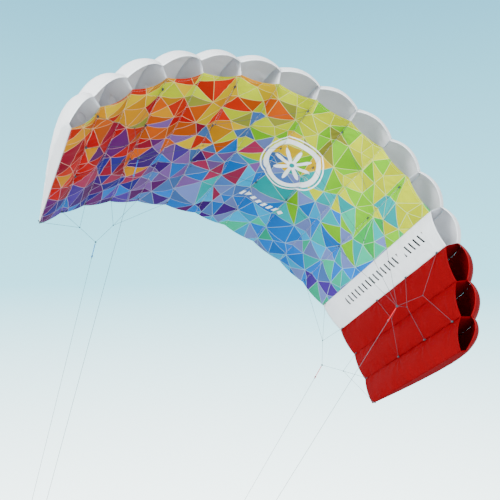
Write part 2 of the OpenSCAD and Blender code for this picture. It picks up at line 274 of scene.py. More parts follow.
class KiteColourSettings(bpy.types.PropertyGroup):
    """Colours of cloth and cord, as seen."""

    white: bpy.props.FloatVectorProperty(
        name="White cloth",
        description="Colour of the white cloth",
        default=(0.93, 0.94, 0.95), subtype="COLOR_GAMMA",
    )
    red: bpy.props.FloatVectorProperty(
        name="Red cloth",
        description="Colour of the red tip",
        default=(0.57, 0.07, 0.13), subtype="COLOR_GAMMA",
    )
    bridle: bpy.props.FloatVectorProperty(
        name="Bridle",
        description="Colour of the bridle lines",
        default=(0.26, 0.30, 0.33), subtype="COLOR_GAMMA",
    )
    line: bpy.props.FloatVectorProperty(
        name="Flying line",
        description="Colour of the flying lines",
        default=(0.33, 0.39, 0.42), subtype="COLOR_GAMMA",
    )
    blue: bpy.props.FloatVectorProperty(
        name="Blue cord",
        description="Colour of the left pigtails",
        default=(0.10, 0.42, 0.78), subtype="COLOR_GAMMA",
    )
    scarlet: bpy.props.FloatVectorProperty(
        name="Red cord",
        description="Colour of the right pigtails",
        default=(0.88, 0.10, 0.16), subtype="COLOR_GAMMA",
    )
    ink: bpy.props.FloatVectorProperty(
        name="Ink",
        description="Colour of the bars on the white band",
        default=(0.08, 0.09, 0.11), subtype="COLOR_GAMMA",
    )


class KiteStageSettings(bpy.types.PropertyGroup):
    """The floor, the sky and the lamps around the kite."""

    floor_z: bpy.props.FloatProperty(
        name="Floor height",
        description="Height of the floor below the kite",
        default=-9.0, unit="LENGTH",
    )
    sky_low: bpy.props.FloatVectorProperty(
        name="Low sky",
        description="Light of the backdrop low down",
        default=(0.85, 1.0, 1.0), subtype="COLOR",
    )
    sky_high: bpy.props.FloatVectorProperty(
        name="High sky",
        description="Light of the backdrop overhead",
        default=(0.065, 0.22, 0.30), subtype="COLOR",
    )
    sky_middle: bpy.props.FloatVectorProperty(
        name="Middle sky",
        description="Light of the backdrop between the two",
        default=(0.16, 0.44, 0.52), subtype="COLOR",
    )
    backdrop_strength: bpy.props.FloatProperty(
        name="Backdrop strength", description="Strength of the backdrop", default=5.0
    )
    light_colour: bpy.props.FloatVectorProperty(
        name="Sky light",
        description="Colour of the light from all round",
        default=(0.94, 0.98, 1.0), subtype="COLOR",
    )
    light_strength: bpy.props.FloatProperty(
        name="Sky light strength", description="Strength of the light from all round", default=1.9
    )


def linear(colour):
    """A colour as seen, turned into light."""
    return tuple(c / 12.92 if c <= 0.04045 else ((c + 0.055) / 1.055) ** 2.4 for c in colour)


def dye(colour):
    """How much light a dyed cloth of a seen colour gives back, purer than it is seen."""
    purity = 1.4
    depth = 0.72
    seen = np.array(linear(colour))
    strongest = seen.max()
    return tuple(depth * strongest * (seen / strongest) ** purity)


def unit(v):
    v = np.asarray(v, float)
    return v / np.linalg.norm(v)


# ---------------------------------------------------------------- the shape of the wing


def station(i):
    """Share of the half span at which rib i stands, from -1 at the left tip."""
    t = (2 * i - CELLS) / CELLS
    return t * (1 + CELL_CROWDING * (1 - t * t))


def tangent(s):
    return np.radians(ARC[0] * s + ARC[1] * s**3 + ARC[2] * s**5)


def arc_point(s):
    """X and Z of the arched lower skin at a share of the half span."""
    angles = tangent(s * (np.arange(ARC_STEPS) + 0.5) / ARC_STEPS)
    run = HALF_SPAN * s / ARC_STEPS
    return np.cos(angles).sum() * run, -np.sin(angles).sum() * run


def lead_y(s):
    return -LEAD_SHARE * CENTER_CHORD + LEAD_SWEEP[0] * s**2 + LEAD_SWEEP[1] * s**4


def trail_y(s):
    return (1 - LEAD_SHARE) * CENTER_CHORD - TRAIL_SWEEP[0] * s**2 - TRAIL_SWEEP[1] * s**4


RIB_S = [station(i) for i in range(CELLS + 1)]
RIB_XZ = [arc_point(s) for s in RIB_S]
RIB_ANGLE = [tangent(s) for s in RIB_S]
RIB_LEAD = [lead_y(s) for s in RIB_S]
RIB_CHORD = [trail_y(s) - lead_y(s) for s in RIB_S]
RIB_FULLNESS = [TIP_FULLNESS if i in (0, CELLS) else 1.0 for i in range(CELLS + 1)]


def half_thickness(q):
    return 5 * SECTION_THICKNESS * (
        NOSE_TERM * np.sqrt(q) - 0.126 * q - 0.3516 * q**2 + 0.2843 * q**3 - 0.1036 * q**4
    )


def upper_section(q):
    """The upper line of the section, in shares of the chord, from the lip to the tail."""
    return q - LIP_FORWARD * (1 - q), INTAKE_HEIGHT * (1 - q) + half_thickness(q)


def wing_point(i, u, v, lift=0.0):
    """Points on rib i at shares u and v of its chord, plus a lift square to the chord."""
    u, v = np.broadcast_arrays(np.asarray(u, float), np.asarray(v, float))
    height = v * RIB_FULLNESS[i] * RIB_CHORD[i] + lift
    x, z = RIB_XZ[i]
    angle = RIB_ANGLE[i]
    along = RIB_LEAD[i] + u * RIB_CHORD[i]
    return np.stack([x + height * math.sin(angle), along, z + height * math.cos(angle)], axis=-1)


def cell_width(i):
    return HALF_SPAN * (RIB_S[i + 1] - RIB_S[i])


def cell_angle(i):
    return (RIB_ANGLE[i] + RIB_ANGLE[i + 1]) / 2


def across(w, left, right):
    w = np.asarray(w, float)[..., None]
    return left * (1 - w) + right * w


def upper_cloth(i, w, q, out=0.0):
    """The upper skin of cell i at share w across it and share q along its section."""
    slope_step = 0.004
    ahead = upper_section(np.minimum(q + slope_step, 1))
    behind = upper_section(np.maximum(q - slope_step, 0))
    slope = np.stack([behind[1] - ahead[1], ahead[0] - behind[0]])
    slope = slope / np.linalg.norm(slope, axis=0)
    angle = cell_angle(i)
    normal = np.stack([slope[1] * math.sin(angle), slope[0], slope[1] * math.cos(angle)], axis=-1)
    u, v = upper_section(q)
    swell = 4 * w * (1 - w)
    base = across(w, wing_point(i, u, v, TRAIL_GAP * q), wing_point(i + 1, u, v, TRAIL_GAP * q))
    rise = UPPER_BULGE * swell * (1 - q**3) + out
    base = base + normal * rise[..., None]
    base[..., 1] += TRAIL_BOW * swell * q**3
    return base


def lower_cloth(i, w, u, out=0.0):
    """The lower skin of cell i at share w across it and share u of the chord."""
    angle = cell_angle(i)
    normal = -np.array([math.sin(angle), 0.0, math.cos(angle)])
    swell = 4 * w * (1 - w)
    base = across(w, wing_point(i, u, 0), wing_point(i + 1, u, 0))
    drop = LOWER_BULGE * swell * (1 - u**5) + out
    base = base + normal * drop[..., None]
    base[..., 1] += TRAIL_BOW * swell * u**3
    return base


def plan_point(i, w, u):
    """Where a point of cell i lies on the flat plan of the wing."""
    lead = RIB_LEAD[i] * (1 - w) + RIB_LEAD[i + 1] * w
    chord = RIB_CHORD[i] * (1 - w) + RIB_CHORD[i + 1] * w
    return HALF_SPAN * (RIB_S[i] * (1 - w) + RIB_S[i + 1] * w), lead + u * chord


def cell_share(i, x, y):
    """The share across cell i and the share of the chord of a point on the flat plan."""
    w = (x / HALF_SPAN - RIB_S[i]) / (RIB_S[i + 1] - RIB_S[i])
    lead = RIB_LEAD[i] * (1 - w) + RIB_LEAD[i + 1] * w
    chord = RIB_CHORD[i] * (1 - w) + RIB_CHORD[i + 1] * w
    return w, (y - lead) / chord


def seam_folds(i, w, y, seed):
    """Small folds that run off each seam of cell i and die out in the cell."""
    cloth = bpy.context.scene.kite_cloth
    dice = np.random.default_rng((seed, i))
    folds = np.zeros_like(y)
    for wavelength in (0.13, 0.071, 0.043):
        left, right = dice.uniform(0, 2 * math.pi, 2)
        folds += wavelength * np.sin(2 * math.pi * y / wavelength + np.where(w < 0.5, left, right))
    reach = np.minimum(w, 1 - w) * cell_width(i) / cloth.fold_reach
    return cloth.fold_depth * 5 * folds * reach * np.exp(1 - reach)


def tab_pull(i, w, u):
    """Folds that fan out from the bridle tabs on either seam of lower cell i."""
    cloth = bpy.context.scene.kite_cloth
    total = np.zeros_like(u)
    bridled = {rib_of(r, side) for pair in BRIDLED_PAIRS for r in pair for side in (-1, 1)}
    for rib, offset in ((i, w), (i + 1, 1 - w)):
        if rib not in bridled:
            continue
        for row in TAB_ROWS:
            dx = offset * cell_width(i)
            dy = (u - row) * RIB_CHORD[rib]
            distance = np.hypot(dx, dy)
            turn = np.arctan2(dy, dx)
            fan = np.cos(9 * turn) * (distance / 0.04) * np.exp(1 - distance / 0.04)
            total += cloth.pull_depth * fan
    return total


def lip_share(i, width):
    """Share of the section of cell i that a tape of some width covers behind the upper lip."""
    return (width / (5 * SECTION_THICKNESS * NOSE_TERM * RIB_CHORD[i])) ** 2


def lower_lift(i, w, u):
    """How far the lower cloth of cell i stands off its smooth shape, with its folds."""
    cloth = bpy.context.scene.kite_cloth
    _, y = plan_point(i, w, u)
    fade = np.clip((1 - u) / 0.02, 0, 1) * np.clip(u / 0.01, 0.3, 1)
    return SKIN_T * 0.8 + (seam_folds(i, w, y, cloth.seed) + tab_pull(i, w, u)) * fade


def upper_lift(i, w, q):
    """The same for the upper cloth, at shares of its section."""
    cloth = bpy.context.scene.kite_cloth
    _, y = plan_point(i, w, upper_section(q)[0])
    fade = np.clip((1 - q) / 0.03, 0, 1)
    return SKIN_T * 0.8 + 1.2 * seam_folds(i, w, y, cloth.seed + 50) * fade


# ---------------------------------------------------------------- meshes


def new_piece(name, points, faces, material, smooth=True):
    """A new mesh object at the origin."""
    mesh = bpy.data.meshes.new(name)
    mesh.from_pydata([tuple(p) for p in np.asarray(points, float)], [], [tuple(f) for f in faces])
    mesh.validate()
    mesh.update()
    if smooth:
        mesh.shade_smooth()
    piece = bpy.data.objects.new(name, mesh)
    bpy.context.scene.collection.objects.link(piece)
    mesh.materials.append(material)
    return piece


def give_plan(piece, plan):
    """Gives each corner of a piece its place on the flat plan, or around and along a cord."""
    layer = piece.data.uv_layers.new(name="plan")
    corners = np.empty(len(piece.data.loops), np.int32)
    piece.data.loops.foreach_get("vertex_index", corners)
    layer.data.foreach_set("uv", np.asarray(plan, np.float32)[corners].ravel())


def settle(piece):
    """Turns a piece and its modifiers into a plain mesh."""
    graph = bpy.context.evaluated_depsgraph_get()
    shape = piece.evaluated_get(graph)
    mesh = bpy.data.meshes.new_from_object(shape, preserve_all_data_layers=True, depsgraph=graph)
    mesh.name = piece.name
    piece.modifiers.clear()
    old = piece.data
    piece.data = mesh
    bpy.data.meshes.remove(old)


def thicken(piece, thickness):
    """Gives a sheet its thickness, inwards from the face that was drawn."""
    wall = piece.modifiers.new("Cloth", "SOLIDIFY")
    wall.thickness = thickness
    wall.offset = -1
    settle(piece)


def grid_faces(rows, columns, flip=False):
    """Quads of a grid of points with that many rows and columns of faces."""
    faces = []
    for r in range(rows):
        for c in range(columns):
            a = r * (columns + 1) + c
            quad = (a, a + 1, a + columns + 2, a + columns + 1)
            faces.append(quad[::-1] if flip else quad)
    return faces


def column_shares(i):
    """Shares across cell i, closer together beside the seams."""
    cloth = bpy.context.scene.kite_cloth
    inset = 0.0003 / cell_width(i)
    spread = 0.5 - 0.5 * np.cos(math.pi * np.arange(cloth.columns + 1) / cloth.columns)
    return inset + (1 - 2 * inset) * spread


def tube(path, radius, sides=8, closed=False):
    """Points, faces and cord coordinates of a round tube along a path."""
    path = np.asarray(path, float)
    count = len(path)
    if closed:
        along = np.roll(path, -1, axis=0) - np.roll(path, 1, axis=0)
    else:
        along = np.gradient(path, axis=0)
    along = along / np.linalg.norm(along, axis=1)[:, None]
    aside = np.cross(along[0], (0.0, 0.0, 1.0))
    if np.linalg.norm(aside) < 0.1:
        aside = np.cross(along[0], (1.0, 0.0, 0.0))
    points, plan = [], []
    run = 0.0
    for k in range(count):
        aside = aside - along[k] * (aside @ along[k])
        aside = aside / np.linalg.norm(aside)
        other = np.cross(along[k], aside)
        if k:
            run += np.linalg.norm(path[k] - path[k - 1])
        for n in range(sides):
            turn = 2 * math.pi * n / sides
            points.append(path[k] + radius * (aside * math.cos(turn) + other * math.sin(turn)))
            plan.append((2 * math.pi * radius * n / sides, run))
    faces = []
    for k in range(count if closed else count - 1):
        for n in range(sides):
            here, after = k * sides, (k + 1) % count * sides
            m = (n + 1) % sides
            faces.append((here + n, here + m, after + m, after + n))
    if not closed:
        faces.append(tuple(range(sides))[::-1])
        faces.append(tuple((count - 1) * sides + n for n in range(sides)))
    return points, faces, plan


class Gathering:
    """Collects parts of one piece, and makes it."""

    def __init__(self):
        self.points, self.faces, self.plan = [], [], []

    def add(self, points, faces, plan):
        base = len(self.points)
        self.points += [tuple(p) for p in points]
        self.faces += [tuple(base + n for n in face) for face in faces]
        self.plan += list(plan)

    def make(self, name, material, smooth=True):
        piece = new_piece(name, self.points, self.faces, material, smooth)
        give_plan(piece, self.plan)
        return piece


def straight(a, b, spacing=0.05):
    steps = max(2, int(np.linalg.norm(np.subtract(b, a)) / spacing) + 1)
    return [np.asarray(a) * (1 - t) + np.asarray(b) * t for t in np.linspace(0, 1, steps)]


def upright(along):
    """Two directions square to a third and to each other."""
    along = unit(along)
    aside = np.cross(along, (0.0, 0.0, 1.0))
    if np.linalg.norm(aside) < 0.1:
        aside = np.cross(along, (1.0, 0.0, 0.0))
    aside = unit(aside)
    return aside, np.cross(along, aside), along


def overhand(center, along, size, cord_d):
    """A pulled-up overhand knot, about twice size wide."""
    aside, other, along = upright(along)
    steps = 42
    path = []
    for k in range(steps):
        t = 2 * math.pi * k / steps
        x = (math.sin(t) + 2 * math.sin(2 * t)) / 3
        y = (math.cos(t) - 2 * math.cos(2 * t)) / 3
        z = -math.sin(3 * t)
        reach = size - cord_d / 2
        path.append(center + aside * (x * reach) + other * (y * reach) + along * (z * size * 0.45))
    return tube(path, cord_d / 2, 8, closed=True)


def ring(center, along, radius, cord_d, steps=20):
    """One turn of cord around a direction."""
    aside, other, _ = upright(along)
    turns = [2 * math.pi * k / steps for k in range(steps)]
    path = [center + radius * (aside * math.cos(t) + other * math.sin(t)) for t in turns]
    return tube(path, cord_d / 2, 8, closed=True)


# ---------------------------------------------------------------- materials


class Shading:
    """Builds a material's node tree."""

    def __init__(self, name):
        self.material = bpy.data.materials.new(name)
        self.material.use_nodes = True
        self.tree = self.material.node_tree
        self.tree.nodes.clear()

    def node(self, kind, inputs=(), **settings):
        made = self.tree.nodes.new(kind)
        for key, value in settings.items():
            setattr(made, key, value)
        for key, value in dict(inputs).items():
            if isinstance(value, bpy.types.NodeSocket):
                self.tree.links.new(value, made.inputs[key])
            else:
                made.inputs[key].default_value = value
        return made

    def math(self, operation, a, b=0.0, c=0.0):
        return self.node("ShaderNodeMath", {0: a, 1: b, 2: c}, operation=operation).outputs[0]

    def mix(self, factor, a, b, blend="MIX"):
        made = self.node("ShaderNodeMix", {"Factor": factor}, data_type="RGBA", blend_type=blend)
        for socket, value in ((made.inputs[6], a), (made.inputs[7], b)):
            if isinstance(value, bpy.types.NodeSocket):
                self.tree.links.new(value, socket)
            else:
                socket.default_value = (*value, 1.0) if len(value) == 3 else value
        return made.outputs[2]

    def plan(self):
        """Across and along the piece's own plan, in metres."""
        place = self.node("ShaderNodeUVMap", uv_map="plan").outputs[0]
        split = self.node("ShaderNodeSeparateXYZ", {0: place})
        return place, split.outputs[0], split.outputs[1]

    def within(self, value, low, high):
        """1 where a value lies between two limits."""
        above = self.math("GREATER_THAN", value, low)
        below = self.math("LESS_THAN", value, high)
        return self.math("MULTIPLY", above, below)

    def any_of(self, masks):
        total = masks[0]
        for mask in masks[1:]:
            total = self.math("MAXIMUM", total, mask)
        return total


def ripstop(shade, x, y):
    """The raised threads of ripstop, a square grid."""
    thread_pitch = 0.005
    thread_share = 0.12
    bars = []
    for axis in (x, y):
        place = shade.math("FRACT", shade.math("DIVIDE", axis, thread_pitch))
        bars.append(shade.math("LESS_THAN", place, thread_share))
    return shade.any_of(bars)


def finish_cloth(shade, colour, see_through, roughness=0.5):
    """Coated ripstop with a given colour: weave, crinkle, soft gloss, light from behind."""
    place, x, y = shade.plan()
    threads = ripstop(shade, x, y)
    weave = shade.node("ShaderNodeTexNoise", {"Vector": place, "Scale": 900.0, "Detail": 1.0})
    crinkle = shade.node(
        "ShaderNodeTexNoise", {"Vector": place, "Scale": 26.0, "Detail": 4.0, "Roughness": 0.55}
    )
    blotch = shade.node("ShaderNodeTexNoise", {"Vector": place, "Scale": 5.0, "Detail": 2.0})
    worn = shade.node(
        "ShaderNodeMapRange",
        {"Value": blotch.outputs[0], "From Min": 0.3, "From Max": 0.7, "To Min": 0.94, "To Max": 1.04},
    ).outputs[0]
    lit = shade.math("MULTIPLY_ADD", threads, 0.06, worn)
    toned = shade.node("ShaderNodeHueSaturation", {"Color": colour, "Value": lit}).outputs[0]
    relief = shade.math("MULTIPLY_ADD", threads, 0.7, weave.outputs[0])
    fine = shade.node("ShaderNodeBump", {"Height": relief, "Strength": 0.25, "Distance": 0.0003})
    bump = shade.node(
        "ShaderNodeBump",
        {"Height": crinkle.outputs[0], "Strength": 0.35, "Distance": 0.004, "Normal": fine.outputs[0]},
    )
    gloss = shade.node(
        "ShaderNodeMapRange",
        {"Value": crinkle.outputs[0], "To Min": roughness - 0.08, "To Max": roughness + 0.1},
    ).outputs[0]
    face = shade.node(
        "ShaderNodeBsdfPrincipled",
        {"Base Color": toned, "Roughness": gloss, "Normal": bump.outputs[0], "Specular IOR Level": 0.04},
    )
    behind = shade.node("ShaderNodeBsdfTranslucent", {"Color": toned, "Normal": bump.outputs[0]})
    both = shade.node("ShaderNodeMixShader", {0: see_through, 1: face.outputs[0], 2: behind.outputs[0]})
    shade.node("ShaderNodeOutputMaterial", {0: both.outputs[0]})
    return shade.material


def rgb(shade, colour):
    made = shade.node("ShaderNodeRGB")
    made.outputs[0].default_value = (*colour, 1.0)
    return made.outputs[0]


def plain_cloth(name, colour, see_through):
    shade = Shading(name)
    return finish_cloth(shade, rgb(shade, colour), see_through)


def emblem(shade, x, y):
    """A white wind rose in two rings, with a row of slanted bars under it."""
    center_x, center_y = 0.0, -0.035
    dx = shade.math("SUBTRACT", x, center_x)
    dy = shade.math("SUBTRACT", y, center_y)
    square = shade.math("MULTIPLY_ADD", dx, dx, shade.math("MULTIPLY", dy, dy))
    radius = shade.math("SQRT", square)
    turn = shade.math("ARCTAN2", dy, dx)
    petals = shade.math("ABSOLUTE", shade.math("COSINE", shade.math("MULTIPLY", turn, 4.0)))
    reach = shade.math("MULTIPLY_ADD", shade.math("POWER", petals, 3.0), 0.105, 0.035)
    hub = shade.within(radius, 0.018, 10.0)
    rose = shade.math("MULTIPLY", shade.math("LESS_THAN", radius, reach), hub)
    rings = [shade.within(radius, 0.168, 0.205), shade.within(radius, 0.219, 0.229)]
    bar_y = shade.math("SUBTRACT", y, 0.42)
    lean = shade.math("MULTIPLY_ADD", bar_y, 0.5, x)
    bars = shade.math("LESS_THAN", shade.math("FRACT", shade.math("DIVIDE", lean, 0.046)), 0.55)
    row = shade.math("MULTIPLY", shade.within(x, -0.19, 0.17), shade.within(bar_y, -0.021, 0.021))
    return shade.any_of([rose, *rings, shade.math("MULTIPLY", bars, row)])


def printed_cloth():
    """White ripstop printed with pale-edged facets and the white emblem."""
    cloth = bpy.context.scene.kite_cloth
    shade = Shading("printed_cloth")
    facet = shade.node("ShaderNodeAttribute", attribute_name="facet_colour").outputs["Color"]
    edge_colour = shade.node("ShaderNodeAttribute", attribute_name="edge_colour").outputs["Color"]
    edges = shade.node("ShaderNodeAttribute", attribute_name="facet_edge").outputs["Vector"]
    split = shade.node("ShaderNodeSeparateXYZ", {0: edges})
    nearer = shade.math("MINIMUM", split.outputs[1], split.outputs[2])
    nearest = shade.math("MINIMUM", split.outputs[0], nearer)
    line = shade.node(
        "ShaderNodeMapRange",
        {
            "Value": nearest,
            "From Min": cloth.facet_line * 0.8,
            "From Max": cloth.facet_line * 1.2,
            "To Min": 1.0,
            "To Max": 0.0,
        },
    ).outputs[0]
    _, x, y = shade.plan()
    printed = shade.mix(line, facet, edge_colour)
    marked = shade.mix(emblem(shade, x, y), printed, linear((0.97, 0.98, 0.98)))
    return finish_cloth(shade, marked, 0.22)


def band_cloth():
    """The white band, with a column of slanted ink bars along the chord."""
    colours = bpy.context.scene.kite_colours
    shade = Shading("band_cloth")
    _, x, y = shade.plan()
    middle = plan_point(MOSAIC_CELLS, 0.5, 0.5)[0] - 0.012
    off = shade.math("ABSOLUTE", shade.math("SUBTRACT", x, middle))
    lean = shade.math("MULTIPLY_ADD", shade.math("SUBTRACT", x, middle), 0.45, y)
    bars = shade.math("LESS_THAN", shade.math("FRACT", shade.math("DIVIDE", lean, 0.044)), 0.3)
    rows = shade.any_of([shade.within(y, -0.16, 0.46), shade.within(y, -0.42, -0.22)])
    ink = shade.math("MULTIPLY", shade.math("MULTIPLY", bars, rows), shade.math("LESS_THAN", off, 0.033))
    colour = shade.mix(ink, linear(colours.white), linear(colours.ink))
    return finish_cloth(shade, colour, 0.25)


def braid(name, colour, strand=0.0012):
    """Braided cord: crossing strands with painted shade in the grooves between them, a small random colour
    change, matt.
    """
    shade = Shading(name)
    place, x, y = shade.plan()
    heights = []
    for sign in (1.0, -1.0):
        lean = shade.math("MULTIPLY_ADD", x, sign, y)
        wave = shade.math("SINE", shade.math("MULTIPLY", lean, 2 * math.pi / strand))
        heights.append(shade.math("ABSOLUTE", wave))
    strands = shade.math("MAXIMUM", heights[0], heights[1])
    worn = shade.node("ShaderNodeTexNoise", {"Vector": place, "Scale": 40.0, "Detail": 2.0}).outputs[0]
    # Painted shade: the cord is darker in the grooves between strands, where the bump sinks, and its tone
    # also varies at random with the noise.
    groove_shade_and_wear = shade.node(
        "ShaderNodeMapRange", {"Value": shade.math("MULTIPLY", strands, worn), "To Min": 0.78, "To Max": 1.1}
    ).outputs[0]
    base = rgb(shade, linear(colour))
    toned = shade.node("ShaderNodeHueSaturation", {"Color": base, "Value": groove_shade_and_wear}).outputs[0]
    bump = shade.node("ShaderNodeBump", {"Height": strands, "Strength": 0.6, "Distance": strand / 3})
    gloss = shade.node("ShaderNodeMapRange", {"Value": worn, "To Min": 0.55, "To Max": 0.8}).outputs[0]
    face = shade.node(
        "ShaderNodeBsdfPrincipled",
        {"Base Color": toned, "Roughness": gloss, "Normal": bump.outputs[0], "Specular IOR Level": 0.15},
    )
    shade.node("ShaderNodeOutputMaterial", {0: face.outputs[0]})
    return shade.material


def material(name):
    """One of the kite's materials, made the first time it is asked for."""
    found = bpy.data.materials.get(name)
    if found:
        return found
    colours = bpy.context.scene.kite_colours
    makers = {
        "white_cloth": lambda: plain_cloth("white_cloth", linear(colours.white), 0.3),
        "red_cloth": lambda: plain_cloth("red_cloth", dye(colours.red), 0.25),
        "rib_cloth": lambda: plain_cloth("rib_cloth", linear((0.90, 0.91, 0.93)), 0.35),
        "printed_cloth": printed_cloth,
        "band_cloth": band_cloth,
        "white_tape": lambda: plain_cloth("white_tape", linear((0.92, 0.93, 0.94)), 0.1),
        "red_tape": lambda: plain_cloth("red_tape", dye((0.62, 0.10, 0.15)), 0.1),
        "grey_tape": lambda: plain_cloth("grey_tape", linear((0.30, 0.33, 0.36)), 0.05),
        "white_thread": lambda: braid("white_thread", (0.80, 0.81, 0.82), 0.0006),
        "red_thread": lambda: braid("red_thread", (0.30, 0.03, 0.05), 0.0006),
        "bridle_braid": lambda: braid("bridle_braid", colours.bridle),
        "line_braid": lambda: braid("line_braid", colours.line),
        "blue_braid": lambda: braid("blue_braid", colours.blue, 0.0018),
        "red_braid": lambda: braid("red_braid", colours.scarlet, 0.0018),
    }
    return makers[name]()


# ---------------------------------------------------------------- sides, flaps and blends


def hand(side):
    return "right" if side > 0 else "left"


def rib_of(i, side):
    """Rib i counted from the left tip, or its twin on the other side."""
    return i if side > 0 else CELLS - i


def mirrored(point, side):
    return np.array((point[0] * side, point[1], point[2]), float)


def flap_side(cell):
    """The side whose flap a cell belongs to or runs up to: -1, 1, or 0 for neither."""
    if cell >= INNER_FLAP_RIB - 1:
        return 1
    if cell <= CELLS - INNER_FLAP_RIB:
        return -1
    return 0


def fold(side):
    """Start of a flap's fold, and the step over which cloth turns with it."""
    start = wing_point(rib_of(INNER_FLAP_RIB, side), FLAP_SHARE, 0)
    tip_rib = rib_of(CELLS, side)
    axis = unit(wing_point(tip_rib, FLAP_SHARE, 0) - start)
    aft = np.array((0.0, 1.0, 0.0))
    aft = unit(aft - axis * (aft @ axis))
    depth = (wing_point(tip_rib, 1, 0) - wing_point(tip_rib, FLAP_SHARE, 0)) @ aft
    return start, aft / depth


def bend_with_flap(piece, side, gusset=False):
    """Works out where cloth would turn from the wing to the flap, and in the gusset cell how that fades
    inwards, but doesn't turn it: it only bakes the piece's placement into its mesh.
    """
    start, slope = fold(side)
    if gusset:
        inner = rib_of(INNER_FLAP_RIB, side)
        angle = RIB_ANGLE[inner]
        fade_per_metre = 5.6
        slope = slope + fade_per_metre * side * np.array((math.cos(angle), 0.0, -math.sin(angle)))
    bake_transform(piece)


def place_skin(piece, cell, node):
    """Puts a skin panel or a strip along it on the wing body when its cell has no flap, otherwise only bakes
    its placement, and hides what it stands for.
    """
    side = flap_side(cell)
    if side == 0:
        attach(piece, "wing")
        nodes = [node]
    else:
        gusset = cell in (INNER_FLAP_RIB - 1, CELLS - INNER_FLAP_RIB)
        bend_with_flap(piece, side, gusset)
        nodes = [node] if gusset else [node, f"flap_skins_{hand(side)}"]
    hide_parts(*nodes)


# ---------------------------------------------------------------- the print


def facets():
    """Corners and triangles of the print, on the flat plan of the wing."""
    cloth = bpy.context.scene.kite_cloth
    dice = random.Random(cloth.seed)
    right_edge = HALF_SPAN * RIB_S[MOSAIC_CELLS] + 0.12
    corners = []
    tries = 20000
    while len(corners) < cloth.facet_corners and tries:
        tries -= 1
        spot = (dice.uniform(-HALF_SPAN - 0.1, right_edge), dice.uniform(-0.72, 1.0))
        if all(math.dist(spot, other) > cloth.facet_size for other in corners):
            corners.append(spot)
    made = geometry.delaunay_2d_cdt([Vector(c) for c in corners], [], [], 0, 1e-6)
    points = np.array([tuple(v) for v in made[0]])
    return points, np.array([tuple(f) for f in made[2]])


def facet_colours(points, triangles):
    """A print colour and an edge colour for each facet."""
    cloth = bpy.context.scene.kite_cloth
    dice = random.Random(cloth.seed + 1)
    columns = sorted(PATCHES)
    colours, edges = [], []
    for x, y in points[triangles].mean(axis=1):
        s = max(-1.0, min(1.0, x / HALF_SPAN))
        u = (y - lead_y(s)) / (trail_y(s) - lead_y(s))
        s += dice.uniform(-0.13, 0.13)
        u += dice.uniform(-0.1, 0.1)
        column = min(columns, key=lambda c: abs(c - s))
        row = min(range(len(PATCH_ROWS)), key=lambda r: abs(PATCH_ROWS[r] - u))
        names = PATCHES[column][row].split()
        tone = dice.uniform(0.88, 1.06)
        colours.append(dye([min(1.0, c * tone) for c in PRINT[dice.choice(names)]]))
        average = np.mean([PRINT[n] for n in names], axis=0)
        edges.append(0.75 * np.array(linear(average * 0.5 + 0.5)))
    return np.array(colours), np.array(edges)


def distance_to_line(p, a, b):
    """How far points p lie from the lines through a and b, on the plan."""
    d = b - a
    return np.abs(d[:, 0] * (p[:, 1] - a[:, 1]) - d[:, 1] * (p[:, 0] - a[:, 0])) / np.linalg.norm(d, axis=1)


def printed_plan(cell, points, triangles):
    """Cuts the flat plan of a cell along the print. Returns its points and triangles."""
    cloth = bpy.context.scene.kite_cloth
    rows = cloth.rows
    w = column_shares(cell)
    u = np.linspace(0, 1, rows + 1)
    left = [plan_point(cell, w[0], share) for share in u]
    right = [plan_point(cell, w[-1], share) for share in u]
    lead = [plan_point(cell, share, 0.0) for share in w[1:-1]]
    trail = [plan_point(cell, share, 1.0) for share in w[1:-1]]
    outline = lead[::-1] + left + trail + right[::-1]
    x_low, x_high = left[0][0], right[0][0]
    spots = list(outline)
    wires = []
    edges = {tuple(sorted((t[k], t[k - 1]))) for t in triangles.tolist() for k in range(3)}
    near = []
    for a, b in sorted(edges):
        start, end = points[a], points[b]
        if max(start[0], end[0]) < x_low or min(start[0], end[0]) > x_high:
            continue
        near.append((start, end))
        steps = max(1, int(math.dist(start, end) / 0.014))
        chain = [start * (1 - t) + end * t for t in np.linspace(0, 1, steps + 1)]
        base = len(spots)
        spots += [tuple(p) for p in chain]
        wires += [(base + k, base + k + 1) for k in range(steps)]
    inner = np.array([plan_point(cell, a, b) for b in u[1:-1] for a in w[1:-1]])
    clear = np.full(len(inner), True)
    for start, end in near:
        d = end - start
        t = np.clip(((inner - start) @ d) / (d @ d), 0, 1)
        clear &= np.linalg.norm(inner - start - t[:, None] * d, axis=1) > 0.003
    spots += [tuple(p) for p in inner[clear]]
    loop = len(outline)
    wires += [(k, (k + 1) % loop) for k in range(loop)]
    made = geometry.delaunay_2d_cdt([Vector(p) for p in spots], wires, [], 0, 1e-6)
    flat = np.array([tuple(v) for v in made[0]])
    faces = np.array([tuple(f) for f in made[2]])
    middle = flat[faces].mean(axis=1)
    share, along = cell_share(cell, middle[:, 0], middle[:, 1])
    inside = (share > w[0]) & (share < w[-1]) & (along > 0) & (along < 1)
    used, faces = np.unique(faces[inside], return_inverse=True)
    return flat[used], faces.reshape(-1, 3)


def facet_under(spots, points, triangles):
    """Which facet each spot lies in."""
    a, b, c = (points[triangles[:, k]] for k in range(3))

    def signed(p, q):
        return (q[:, 0] - p[:, 0]) * (spots[:, None, 1] - p[:, 1]) - (q[:, 1] - p[:, 1]) * (
            spots[:, None, 0] - p[:, 0]
        )

    sides = np.stack([signed(a, b), signed(b, c), signed(c, a)])
    depth = np.maximum(sides.min(axis=0), (-sides).min(axis=0))
    return depth.argmax(axis=1)


